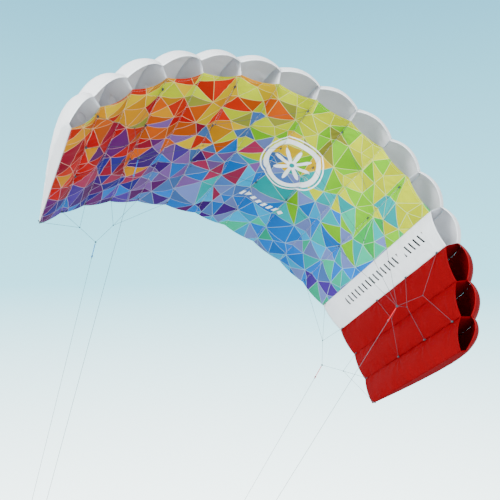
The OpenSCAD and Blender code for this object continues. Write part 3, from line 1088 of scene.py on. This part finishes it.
def paint_facets(piece, plan, points, triangles, colours, edges):
    """Gives each corner of a panel its facet's colour and its distances to the facet's edges."""
    mesh = piece.data
    corners = np.empty(len(mesh.loops), np.int32)
    mesh.loops.foreach_get("vertex_index", corners)
    spots = plan[corners]
    facet = np.repeat(facet_under(spots.reshape(-1, 3, 2).mean(axis=1), points, triangles), 3)
    a, b, c = (points[triangles[facet, k]] for k in range(3))
    sides = ((a, b), (b, c), (c, a))
    reach = np.stack([distance_to_line(spots, *side) for side in sides], axis=1)
    layer = mesh.attributes.new("facet_edge", "FLOAT_VECTOR", "CORNER")
    layer.data.foreach_set("vector", reach.astype(np.float32).ravel())
    for name, values in (("facet_colour", colours), ("edge_colour", edges)):
        layer = mesh.attributes.new(name, "FLOAT_COLOR", "CORNER")
        full = np.c_[values[facet], np.ones(len(facet))]
        layer.data.foreach_set("color", full.astype(np.float32).ravel())


# ---------------------------------------------------------------- pieces


class KITE_OT_stage(bpy.types.Operator):
    """Set up the camera, the backdrop, the floor and the lamps"""

    bl_idname = "kite.stage"
    bl_label = "Stage"

    def execute(self, context):
        self.camera(context)
        self.sky(context)
        self.floor(context)
        self.lamp("key_lamp", (-7.0, -4.0, -3.0), 2.5, 1250)
        self.lamp("fill_lamp", (1.5, -7.0, -6.0), 5.0, 500)
        self.lamp("top_lamp", (1.5, -1.0, 7.0), 6.0, 300)
        return {"FINISHED"}

    def camera(self, context):
        """Low in front of the wing and to its left, looking up at the lower skin."""
        data = bpy.data.cameras.new("camera")
        data.sensor_width = 36.0
        data.lens = CAMERA_LENS
        camera = bpy.data.objects.new("camera", data)
        context.scene.collection.objects.link(camera)
        right = Vector(CAMERA_RIGHT).normalized()
        up = Vector(CAMERA_UP)
        up = (up - right * up.dot(right)).normalized()
        turn = Matrix((right, up, right.cross(up))).transposed()
        camera.matrix_world = Matrix.Translation(CAMERA_PLACE) @ turn.to_4x4()
        context.scene.camera = camera

    def sky(self, context):
        """A pale backdrop, paler low down, and an even light from all round."""
        stage = context.scene.kite_stage
        world = bpy.data.worlds.new("sky")
        context.scene.world = world
        world.use_nodes = True
        nodes, links = world.node_tree.nodes, world.node_tree.links
        nodes.clear()
        place = nodes.new("ShaderNodeTexCoord")
        rise = nodes.new("ShaderNodeVectorMath")
        rise.operation = "DOT_PRODUCT"
        rise.inputs[1].default_value = CAMERA_UP
        shift = nodes.new("ShaderNodeMath")
        shift.inputs[1].default_value = 0.5
        ramp = nodes.new("ShaderNodeValToRGB")
        ramp.color_ramp.elements[0].position = 0.13
        ramp.color_ramp.elements[0].color = (*stage.sky_low, 1)
        ramp.color_ramp.elements[1].position = 0.87
        ramp.color_ramp.elements[1].color = (*stage.sky_high, 1)
        ramp.color_ramp.elements.new(0.45).color = (*stage.sky_middle, 1)
        backdrop = nodes.new("ShaderNodeBackground")
        backdrop.inputs["Strength"].default_value = stage.backdrop_strength
        light = nodes.new("ShaderNodeBackground")
        light.inputs["Color"].default_value = (*stage.light_colour, 1)
        light.inputs["Strength"].default_value = stage.light_strength
        path = nodes.new("ShaderNodeLightPath")
        mix = nodes.new("ShaderNodeMixShader")
        out = nodes.new("ShaderNodeOutputWorld")
        links.new(place.outputs["Generated"], rise.inputs[0])
        links.new(rise.outputs["Value"], shift.inputs[0])
        links.new(shift.outputs[0], ramp.inputs[0])
        links.new(ramp.outputs[0], backdrop.inputs["Color"])
        links.new(path.outputs["Is Camera Ray"], mix.inputs[0])
        links.new(light.outputs[0], mix.inputs[1])
        links.new(backdrop.outputs[0], mix.inputs[2])
        links.new(mix.outputs[0], out.inputs[0])

    def floor(self, context):
        stage = context.scene.kite_stage
        half, z = 60.0, stage.floor_z
        shade = Shading("pale_floor")
        grain = shade.node("ShaderNodeTexNoise", {"Scale": 0.6, "Detail": 3.0})
        tone = shade.mix(grain.outputs[0], linear((0.86, 0.90, 0.91)), linear((0.90, 0.93, 0.94)))
        face = shade.node("ShaderNodeBsdfPrincipled", {"Base Color": tone, "Roughness": 0.9})
        shade.node("ShaderNodeOutputMaterial", {0: face.outputs[0]})
        points = [(-half, -half, z), (half, -half, z), (half, half, z), (-half, half, z)]
        new_piece("floor", points, [(0, 1, 2, 3)], shade.material, smooth=False)

    def lamp(self, name, place, size, power):
        data = bpy.data.lights.new(name, "AREA")
        data.size = size
        data.energy = power
        lamp = bpy.data.objects.new(name, data)
        bpy.context.scene.collection.objects.link(lamp)
        lamp.location = place
        lamp.rotation_euler = (-Vector(place)).to_track_quat("-Z", "Y").to_euler()


class KITE_OT_flying_lines(bpy.types.Operator):
    """Make the four flying lines with their sleeves and end loops"""

    bl_idname = "kite.flying_lines"
    bl_label = "Flying Lines"

    def execute(self, context):
        for name, (start, end) in LINE_ROUTES.items():
            start, end = np.array(start), np.array(end)
            along = unit(end - start)
            path = straight(start, end + along * SLEEVE_LENGTH, 0.04)
            line = Gathering()
            line.add(*tube(path, LINE_D / 2, 8))
            cord = line.make(name + "_cord", material("line_braid"))
            fittings = [self.end_of_line(name, end, along), self.hitch(name, start, along)]
            for piece in (cord, *fittings):
                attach(piece, name)
            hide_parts(name)
        return {"FINISHED"}

    def end_of_line(self, name, end, along):
        """The sleeve over the splice, its whippings and the sewn loop."""
        made = Gathering()
        aside, _, _ = upright(along)
        made.add(*tube(straight(end + along * END_GAP, end + along * SLEEVE_LENGTH, 0.01), SLEEVE_D / 2, 12))
        for share in (0.06, 0.12, 0.88, 0.94):
            made.add(*ring(end + along * (SLEEVE_LENGTH * share), along, SLEEVE_D / 2, 0.0012))
        middle = end + along * (SLEEVE_LENGTH + 2 * END_GAP + LOOP_R + LOOP_D / 2)
        turns = [2 * math.pi * k / 32 for k in range(32)]
        loop = [middle + LOOP_R * (aside * math.cos(t) * 0.8 + along * math.sin(t)) for t in turns]
        made.add(*tube(loop, LOOP_D / 2, 10, closed=True))
        colour = "blue_braid" if name.endswith("left") else "red_braid"
        piece = made.make(name + "_end", material(colour))
        return piece

    def hitch(self, name, start, along):
        """The lark's head by which the line holds the pigtail, behind its stopper knot."""
        made = Gathering()
        for back in (0.0105, 0.0130):
            made.add(*ring(start - along * back, along, PIGTAIL_D / 2 + LINE_D * 0.45, LINE_D))
        aside, _, _ = upright(along)
        for sign in (-1, 1):
            bow = [
                start - along * 0.0105 + aside * (sign * (PIGTAIL_D / 2 + LINE_D * 0.45)),
                start - along * 0.006 + aside * (sign * 0.0056),
                start - along * 0.002 + aside * (sign * 0.0046),
                start + along * 0.006 + aside * (sign * 0.0012),
            ]
            made.add(*tube(bow, LINE_D * 0.45, 8))
        piece = made.make(name + "_hitch", material("line_braid"))
        return piece


class KITE_OT_pigtails(bpy.types.Operator):
    """Make the coloured pigtails with their stopper knots"""

    bl_idname = "kite.pigtails"
    bl_label = "Pigtails"

    def execute(self, context):
        for side in (-1, 1):
            knots = (("main", TOW_POINT, TOW_KNOT_R), ("brake", BRAKE_POINT, BRAKE_KNOT_R))
            for kind, point, knot_r in knots:
                start = mirrored(point, side)
                towards = np.array(LINE_ROUTES[f"{kind}_line_{hand(side)}"][0])
                along = unit(towards - start)
                clear = knot_r * KNOT_REACH + END_GAP
                end = start + along * (clear + PIGTAIL_LENGTH)
                made = Gathering()
                made.add(*tube(straight(start + along * clear, end, 0.01), PIGTAIL_D / 2, 12))
                made.add(*overhand(end - along * 0.001, along, 0.0052, 0.0038))
                made.add(*ring(start + along * (clear + 0.002), along, PIGTAIL_D / 2, 0.0022))
                colour = "blue" if side < 0 else "red"
                piece = made.make(f"{kind}_pigtail_{hand(side)}_cord", material(f"{colour}_braid"))
                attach(piece, f"{kind}_pigtail_{hand(side)}")
                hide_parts(f"{kind}_pigtail_{hand(side)}")
        return {"FINISHED"}


def tab_hole(i, row):
    return wing_point(i, TAB_ROWS[row], 0, -TAB_DROP)


def brake_hole(i):
    return wing_point(i, BRAKE_TAB_AT, 0, -BRAKE_TAB_DROP)


def line_with_eye(made, start, end):
    """A bridle line from a tab's eye to a knot, with a whipping near the eye."""
    along = unit(np.subtract(end, start))
    made.add(*tube(straight(start, end), BRIDLE_D / 2, 8))
    made.add(*ring(start + along * 0.012, along, BRIDLE_D / 2, 0.0012, 12))
    made.add(*ring(start + along * 0.026, along, BRIDLE_D / 2, 0.0012, 12))


class KITE_OT_bridle(bpy.types.Operator):
    """Make the three rows of bridle lines on each side"""

    bl_idname = "kite.bridle"
    bl_label = "Bridle"

    def execute(self, context):
        for side in (-1, 1):
            target = mirrored(TOW_POINT, side)
            for row, name in enumerate(("front", "middle", "rear")):
                made = Gathering()
                for pair in BRIDLED_PAIRS:
                    holes = [tab_hole(rib_of(i, side), row) for i in pair]
                    middle = np.mean(holes, axis=0)
                    join = middle * (1 - PAIR_SHARE) + target * PAIR_SHARE
                    spread = unit(holes[1] - holes[0]) * BRIDLE_D * 0.6
                    for sign, hole in zip((-1, 1), holes):
                        line_with_eye(made, hole, join + spread * sign)
                    made.add(*overhand(join, target - middle, 0.0046, 0.0028))
                    made.add(*tube(straight(join, target), BRIDLE_D / 2, 8))
                if row == 0:
                    made.add(*overhand(target, (0, 0, 1), TOW_KNOT_R, 0.0052))
                piece = made.make(f"{name}_bridle_{hand(side)}_lines", material("bridle_braid"))
                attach(piece, "wing")
                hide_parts(f"{name}_bridle_{hand(side)}")
        return {"FINISHED"}


class KITE_OT_brake_bridle(bpy.types.Operator):
    """Make the brake lines that fan out to the trailing edge"""

    bl_idname = "kite.brake_bridle"
    bl_label = "Brake Bridle"

    def execute(self, context):
        for side in (-1, 1):
            target = mirrored(BRAKE_POINT, side)
            joins = []
            for fan, share, place in zip(FANS, FAN_SHARES, ("inner", "outer")):
                ribs = [rib_of(i, side) for i in fan]
                holes = [brake_hole(i) for i in ribs]
                middle = np.mean(holes, axis=0)
                join = middle * (1 - share) + target * share
                joins.append(join)
                for rib, hole in zip(ribs, holes):
                    self.fan_line(side, place, rib, hole, join)
            self.middle_lines(side, joins, target)
        return {"FINISHED"}

    def fan_line(self, side, place, rib, hole, join):
        made = Gathering()
        line_with_eye(made, hole, join)
        piece = made.make(f"brake_line_to_rib_{rib + 1:02d}", material("bridle_braid"))
        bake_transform(piece)
        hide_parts(f"brake_fan_{place}_{hand(side)}")

    def middle_lines(self, side, joins, target):
        made = Gathering()
        for join in joins:
            made.add(*tube(straight(join, target), BRIDLE_D / 2, 8))
            made.add(*overhand(join, target - join, 0.0046, 0.0028))
        made.add(*overhand(target, (0, 0, 1), BRAKE_KNOT_R, 0.0044))
        piece = made.make(f"brake_middle_lines_{hand(side)}", material("bridle_braid"))
        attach(piece, f"brake_bridle_{hand(side)}")
        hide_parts(f"brake_mids_{hand(side)}")


class KITE_OT_tabs(bpy.types.Operator):
    """Make the folded webbing tabs that the bridle hangs from"""

    bl_idname = "kite.tabs"
    bl_label = "Tabs"

    def execute(self, context):
        for side in (-1, 1):
            made = Gathering()
            for pair in BRIDLED_PAIRS:
                for i in pair:
                    for row in range(len(TAB_ROWS)):
                        rib = rib_of(i, side)
                        self.tab(made, rib, tab_hole(rib, row), TAB_DROP, 0.0045, 0.012)
            self.place(made, f"bridle_tabs_{hand(side)}", "wing")
            made = Gathering()
            for fan in FANS:
                for i in fan:
                    rib = rib_of(i, side)
                    self.tab(made, rib, brake_hole(rib), BRAKE_TAB_DROP, 0.0033, 0.009)
            self.place(made, f"brake_tabs_{hand(side)}", f"flap_{hand(side)}")
        return {"FINISHED"}

    def place(self, made, name, body):
        piece = made.make(name, material("grey_tape"))
        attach(piece, body)

    def tab(self, made, rib, hole, drop, radius, width):
        """A strap folded around a line's eye, with its two ends sewn flat to the rib."""
        up = np.array((math.sin(RIB_ANGLE[rib]), 0.0, math.cos(RIB_ANGLE[rib])))
        aside = np.array((math.cos(RIB_ANGLE[rib]), 0.0, -math.sin(RIB_ANGLE[rib])))
        aft = np.array((0.0, 1.0, 0.0))
        strap = 0.0009
        flat = 0.0016
        line = [hole + up * (drop + 0.012) - aside * flat, hole + up * drop - aside * flat]
        line += [
            hole - aside * (radius * math.sin(t)) - up * (radius * math.cos(t) * 1.2)
            for t in np.linspace(0.75 * math.pi, 0.05, 8)
        ]
        line += [
            hole + aside * (radius * math.sin(t)) - up * (radius * math.cos(t) * 1.2)
            for t in np.linspace(0.05, 0.75 * math.pi, 8)
        ]
        line += [hole + up * drop + aside * flat, hole + up * (drop + 0.012) + aside * flat]
        line = np.array(line)
        normal = np.cross(np.gradient(line, axis=0), aft)
        normal = normal / np.linalg.norm(normal, axis=1)[:, None] * strap / 2
        rings = []
        for p, n in zip(line, normal):
            half = aft * width / 2
            rings += [p + n - half, p + n + half, p - n + half, p - n - half]
        count = len(line)
        faces = []
        for k in range(count - 1):
            for n in range(4):
                m = (n + 1) % 4
                faces.append((4 * k + n, 4 * k + 4 + n, 4 * k + 4 + m, 4 * k + m))
        faces += [(0, 1, 2, 3), tuple(4 * count - 4 + n for n in (3, 2, 1, 0))]
        run = np.r_[0, np.cumsum(np.linalg.norm(np.diff(line, axis=0), axis=1))]
        plan = [(x, run[k]) for k in range(count) for x in (0.0, width, width, 0.0)]
        made.add(rings, faces, plan)


class KITE_OT_ribs(bpy.types.Operator):
    """Make the sixteen ribs with their cross ports"""

    bl_idname = "kite.ribs"
    bl_label = "Ribs"

    def execute(self, context):
        bridled = {rib_of(r, side) for pair in BRIDLED_PAIRS for r in pair for side in (-1, 1)}
        for i in range(CELLS + 1):
            end_rib = i in (0, CELLS)
            side = 1 if i > CELLS // 2 else -1
            cloth = "red_cloth" if i >= RED_FROM else "white_cloth" if i == 0 else "rib_cloth"
            piece = self.rib(i, [] if end_rib else PORTS, material(cloth))
            in_flap = not CELLS - INNER_FLAP_RIB < i < INNER_FLAP_RIB
            if in_flap:
                bend_with_flap(piece, side)
            else:
                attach(piece, "wing")
            node = "plain_ribs"
            if end_rib:
                node = f"end_rib_{hand(side)}"
            elif i in bridled:
                node = f"bridled_ribs_{hand(side)}"
            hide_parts(node, *([f"flap_tails_{hand(side)}"] if in_flap else []))
        return {"FINISHED"}

    def rib(self, i, ports, cloth):
        """A flat sheet with the section's outline and a hole at each port."""
        chord = RIB_CHORD[i]
        q = np.linspace(0, 1, 60) ** 1.6
        u, v = upper_section(q)
        allowance = 0.0011 / chord / RIB_FULLNESS[i]
        top = [(a, b + allowance) for a, b in zip(u, v) if a < RIB_END]
        floor = [(a, -allowance) for a in np.linspace(RIB_END, 0.0, 60)]
        outline = top + floor
        loops = [outline]
        for share, radius in ports:
            middle = upper_section((share + LIP_FORWARD) / (1 + LIP_FORWARD))[1] / 2
            r = radius / CENTER_CHORD
            turns = [2 * math.pi * k / 32 for k in range(32)]
            loops.append([(share + r * math.cos(t), middle + r * math.sin(t)) for t in turns])
        spots, wires = [], []
        for loop in loops:
            base = len(spots)
            spots += loop
            wires += [(base + k, base + (k + 1) % len(loop)) for k in range(len(loop))]
        spots += [(a, b) for a in np.linspace(0.02, 0.95, 40) for b in np.linspace(0.02, 0.16, 8)]
        made = geometry.delaunay_2d_cdt([Vector(p) for p in spots], wires, [], 0, 1e-6)
        flat = np.array([tuple(p) for p in made[0]])
        faces = [f for f in made[2] if self.inside(flat[list(f)].mean(axis=0), outline, ports)]
        used = sorted({n for f in faces for n in f})
        number = {n: k for k, n in enumerate(used)}
        flat = flat[used]
        faces = [tuple(number[n] for n in f) for f in faces]
        points = wing_point(i, flat[:, 0], flat[:, 1])
        aside = np.array((math.cos(RIB_ANGLE[i]), 0.0, -math.sin(RIB_ANGLE[i])))
        thickness = bpy.context.scene.kite_cloth.thickness
        outwards = 1 if i > CELLS // 2 else -1
        piece = new_piece(f"rib_{i + 1:02d}", points + aside * outwards * thickness / 2, faces, cloth)
        if piece.data.polygons[0].normal @ Vector(aside * outwards) < 0:
            piece.data.flip_normals()
        give_plan(piece, flat * chord)
        thicken(piece, thickness)
        return piece

    def inside(self, spot, outline, ports):
        """Whether a spot of the section is cloth."""
        a, b = spot
        crossing = 0
        for (x0, y0), (x1, y1) in zip(outline, outline[1:] + outline[:1]):
            if (y0 > b) != (y1 > b) and a < (x1 - x0) * (b - y0) / (y1 - y0) + x0:
                crossing += 1
        if crossing % 2 == 0:
            return False
        for share, radius in ports:
            middle = upper_section((share + LIP_FORWARD) / (1 + LIP_FORWARD))[1] / 2
            if math.hypot(a - share, b - middle) < radius / CENTER_CHORD * 0.99:
                return False
        return True


class KITE_OT_lower_skin(bpy.types.Operator):
    """Make the fifteen panels of the lower skin: eleven printed, one white, three red"""

    bl_idname = "kite.lower_skin"
    bl_label = "Lower Skin"

    def execute(self, context):
        points, triangles = facets()
        colours, edges = facet_colours(points, triangles)
        for cell in range(CELLS):
            if cell < MOSAIC_CELLS:
                plan, faces = printed_plan(cell, points, triangles)
                w, u = cell_share(cell, plan[:, 0], plan[:, 1])
            else:
                rows = context.scene.kite_cloth.rows
                shares = column_shares(cell)
                u, w = (a.ravel() for a in np.meshgrid(np.linspace(0, 1, rows + 1), shares, indexing="ij"))
                plan = np.stack(plan_point(cell, w, u), axis=1)
                faces = grid_faces(rows, len(shares) - 1)
            self.panel(cell, w, u, plan, faces, (points, triangles, colours, edges))
        return {"FINISHED"}

    def panel(self, cell, w, u, plan, faces, facet_print):
        cloth = bpy.context.scene.kite_cloth
        out = lower_lift(cell, w, u)
        if cell < MOSAIC_CELLS:
            name = "printed_cloth"
            slot = "warm_mosaic"
            if cell >= LIME_FROM:
                slot = "lime_mosaic" if cell < BLUE_FROM else "blue_mosaic"
        elif cell < RED_FROM:
            name, slot = "band_cloth", "white_ripstop"
        else:
            name, slot = "red_cloth", "red_ripstop"
        places = lower_cloth(cell, w, u, out)
        flipped = [tuple(f)[::-1] for f in faces]
        piece = new_piece(f"lower_skin_{cell + 1:02d}", places, flipped, material(name))
        give_plan(piece, plan)
        if cell < MOSAIC_CELLS:
            paint_facets(piece, plan, *facet_print)
        thicken(piece, cloth.thickness)
        place_skin(piece, cell, f"lower_panel_{cell + 1:02d}")


class KITE_OT_upper_skin(bpy.types.Operator):
    """Make the fifteen panels of the upper skin: twelve white, three red"""

    bl_idname = "kite.upper_skin"
    bl_label = "Upper Skin"

    def execute(self, context):
        cloth = context.scene.kite_cloth
        for cell in range(CELLS):
            shares = column_shares(cell)
            q = np.linspace(0, 1, cloth.rows + 1) ** 2
            q, w = (a.ravel() for a in np.meshgrid(q, shares, indexing="ij"))
            u, _ = upper_section(q)
            plan = np.stack(plan_point(cell, w, u), axis=1)
            places = upper_cloth(cell, w, q, upper_lift(cell, w, q))
            red = cell >= RED_FROM
            colour = "red" if red else "white"
            panel = grid_faces(cloth.rows, len(shares) - 1)
            piece = new_piece(f"upper_skin_{cell + 1:02d}", places, panel, material(f"{colour}_cloth"))
            give_plan(piece, plan)
            thicken(piece, cloth.thickness)
            place_skin(piece, cell, f"upper_panel_{cell + 1:02d}")
        return {"FINISHED"}


def stitching_tree():
    """Geometry nodes that sew stitches along each run of loose edges."""
    tree = bpy.data.node_groups.new("stitching", "GeometryNodeTree")
    face = tree.interface
    face.new_socket("Seam", in_out="INPUT", socket_type="NodeSocketGeometry")
    for name in ("Pitch", "Length", "Width"):
        face.new_socket(name, in_out="INPUT", socket_type="NodeSocketFloat")
    face.new_socket("Thread", in_out="INPUT", socket_type="NodeSocketMaterial")
    face.new_socket("Stitches", in_out="OUTPUT", socket_type="NodeSocketGeometry")

    def add(kind, **settings):
        made = tree.nodes.new(kind)
        for key, value in settings.items():
            setattr(made, key, value)
        return made

    source = add("NodeGroupInput")
    curve = add("GeometryNodeMeshToCurve")
    steps = add("GeometryNodeResampleCurve", mode="LENGTH")
    tangents = add("GeometryNodeInputTangent")
    aim = add("FunctionNodeAlignRotationToVector", axis="Z")
    stitch = add("GeometryNodeMeshIcoSphere")
    stitch.inputs["Radius"].default_value = 0.5
    stitch.inputs["Subdivisions"].default_value = 1
    size = add("ShaderNodeCombineXYZ")
    place = add("GeometryNodeInstanceOnPoints")
    whole = add("GeometryNodeRealizeInstances")
    finish = add("GeometryNodeSetMaterial")
    result = add("NodeGroupOutput")
    for start, end in (
        (source.outputs["Seam"], curve.inputs[0]),
        (curve.outputs[0], steps.inputs["Curve"]),
        (source.outputs["Pitch"], steps.inputs["Length"]),
        (tangents.outputs[0], aim.inputs["Vector"]),
        (steps.outputs[0], place.inputs["Points"]),
        (stitch.outputs[0], place.inputs["Instance"]),
        (aim.outputs[0], place.inputs["Rotation"]),
        (source.outputs["Width"], size.inputs[0]),
        (source.outputs["Width"], size.inputs[1]),
        (source.outputs["Length"], size.inputs[2]),
        (size.outputs[0], place.inputs["Scale"]),
        (place.outputs[0], whole.inputs[0]),
        (whole.outputs[0], finish.inputs["Geometry"]),
        (source.outputs["Thread"], finish.inputs["Material"]),
        (finish.outputs[0], result.inputs[0]),
    ):
        tree.links.new(start, end)
    return tree


def sew(name, lines, thread):
    """A mesh of stitches along lines of points."""
    tree = bpy.data.node_groups.get("stitching") or stitching_tree()
    points, edges = [], []
    for line in lines:
        base = len(points)
        points += [tuple(p) for p in line]
        edges += [(base + k, base + k + 1) for k in range(len(line) - 1)]
    mesh = bpy.data.meshes.new(name)
    mesh.from_pydata(points, edges, [])
    piece = bpy.data.objects.new(name, mesh)
    bpy.context.scene.collection.objects.link(piece)
    mesh.materials.append(thread)
    sewing = piece.modifiers.new("Stitching", "NODES")
    sewing.node_group = tree
    cloth = bpy.context.scene.kite_cloth
    values = {
        "Pitch": cloth.stitch_pitch,
        "Length": cloth.stitch_size,
        "Width": STITCH_WIDTH,
        "Thread": thread,
    }
    for socket in tree.interface.items_tree:
        if socket.in_out == "INPUT" and socket.name in values:
            sewing[socket.identifier] = values[socket.name]
    settle(piece)
    piece.data.shade_smooth()
    places = np.array([tuple(v.co) for v in piece.data.vertices])
    give_plan(piece, places[:, :2])
    return piece


class KITE_OT_lip_tapes(bpy.types.Operator):
    """Make the tape that binds the upper lip of each intake"""

    bl_idname = "kite.lip_tapes"
    bl_label = "Lip Tapes"

    def execute(self, context):
        cloth = context.scene.kite_cloth
        rows = 4
        for cell in range(CELLS):
            shares = column_shares(cell)
            reach = np.linspace(0, 1, rows + 1) * cloth.hem_width
            q, w = (a.ravel() for a in np.meshgrid(lip_share(cell, reach), shares, indexing="ij"))
            places = upper_cloth(cell, w, q, upper_lift(cell, w, q) + TAPE_PROUD)
            colour = "red" if cell >= RED_FROM else "white"
            faces = grid_faces(rows, len(shares) - 1)
            piece = new_piece(f"lip_tape_{cell + 1:02d}", places, faces, material(f"{colour}_tape"))
            plan = np.stack([w * cell_width(cell), np.repeat(reach, len(shares))], axis=1)
            give_plan(piece, plan)
            thicken(piece, cloth.thickness)
            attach(piece, "wing")
        return {"FINISHED"}


class KITE_OT_stitches(bpy.types.Operator):
    """Sew two rows of stitches beside every seam and one row behind every lip"""

    bl_idname = "kite.stitches"
    bl_label = "Stitches"

    def execute(self, context):
        cloth = context.scene.kite_cloth
        u = np.linspace(0.004, 0.985, 90)
        q = np.linspace(0.01, 0.99, 90)
        for cell in range(CELLS):
            lines = []
            for from_seam in (SEAM_STITCH, cell_width(cell) - SEAM_STITCH):
                w = np.full_like(u, from_seam / cell_width(cell))
                lines.append(self.on_lower(cell, w, u))
                lines.append(self.on_upper(cell, w, q))
            w = np.linspace(0.03, 0.97, 24)
            lip = cloth.hem_width / RIB_CHORD[cell]
            lines.append(self.on_lower(cell, w, np.full_like(w, lip)))
            behind = lip_share(cell, cloth.hem_width - TAPE_EDGE)
            lines.append(self.on_upper(cell, w, np.full_like(w, behind), TAPE_STITCH_PROUD))
            thread = "red_thread" if cell >= RED_FROM else "white_thread"
            piece = sew(f"stitches_{cell + 1:02d}", lines, material(thread))
            side = flap_side(cell)
            if side:
                gusset = cell in (INNER_FLAP_RIB - 1, CELLS - INNER_FLAP_RIB)
                bend_with_flap(piece, side, gusset)
            else:
                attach(piece, "wing")
        return {"FINISHED"}

    def on_lower(self, cell, w, u):
        return lower_cloth(cell, w, u, lower_lift(cell, w, u) + STITCH_PROUD)

    def on_upper(self, cell, w, q, proud=STITCH_PROUD):
        return upper_cloth(cell, w, q, upper_lift(cell, w, q) + proud)


OPERATORS = (
    KITE_OT_stage,
    KITE_OT_flying_lines,
    KITE_OT_pigtails,
    KITE_OT_bridle,
    KITE_OT_brake_bridle,
    KITE_OT_tabs,
    KITE_OT_ribs,
    KITE_OT_lower_skin,
    KITE_OT_upper_skin,
    KITE_OT_lip_tapes,
    KITE_OT_stitches,
)


class KITE_PT_panel(bpy.types.Panel):
    """The kite's operators and settings"""

    bl_idname = "KITE_PT_panel"
    bl_label = "Parafoil Kite"
    bl_space_type = "VIEW_3D"
    bl_region_type = "UI"
    bl_category = "Kite"

    def draw(self, context):
        for operator in OPERATORS:
            self.layout.operator(operator.bl_idname)
        for settings in (context.scene.kite_cloth, context.scene.kite_colours, context.scene.kite_stage):
            for name in settings.__annotations__:
                self.layout.prop(settings, name)


SETTINGS = (
    ("kite_cloth", KiteClothSettings),
    ("kite_colours", KiteColourSettings),
    ("kite_stage", KiteStageSettings),
)


def register():
    for name, group in SETTINGS:
        bpy.utils.register_class(group)
        setattr(bpy.types.Scene, name, bpy.props.PointerProperty(type=group))
    for operator in OPERATORS:
        bpy.utils.register_class(operator)
    bpy.utils.register_class(KITE_PT_panel)


def unregister():
    bpy.utils.unregister_class(KITE_PT_panel)
    for operator in reversed(OPERATORS):
        bpy.utils.unregister_class(operator)
    for name, group in reversed(SETTINGS):
        delattr(bpy.types.Scene, name)
        bpy.utils.unregister_class(group)


def main():
    register()
    bpy.ops.kite.stage()
    bpy.ops.kite.flying_lines()
    bpy.ops.kite.pigtails()
    bpy.ops.kite.bridle()
    bpy.ops.kite.brake_bridle()
    bpy.ops.kite.tabs()
    bpy.ops.kite.ribs()
    bpy.ops.kite.lower_skin()
    bpy.ops.kite.upper_skin()
    bpy.ops.kite.lip_tapes()
    bpy.ops.kite.stitches()


if __name__ == "__main__":
    main()
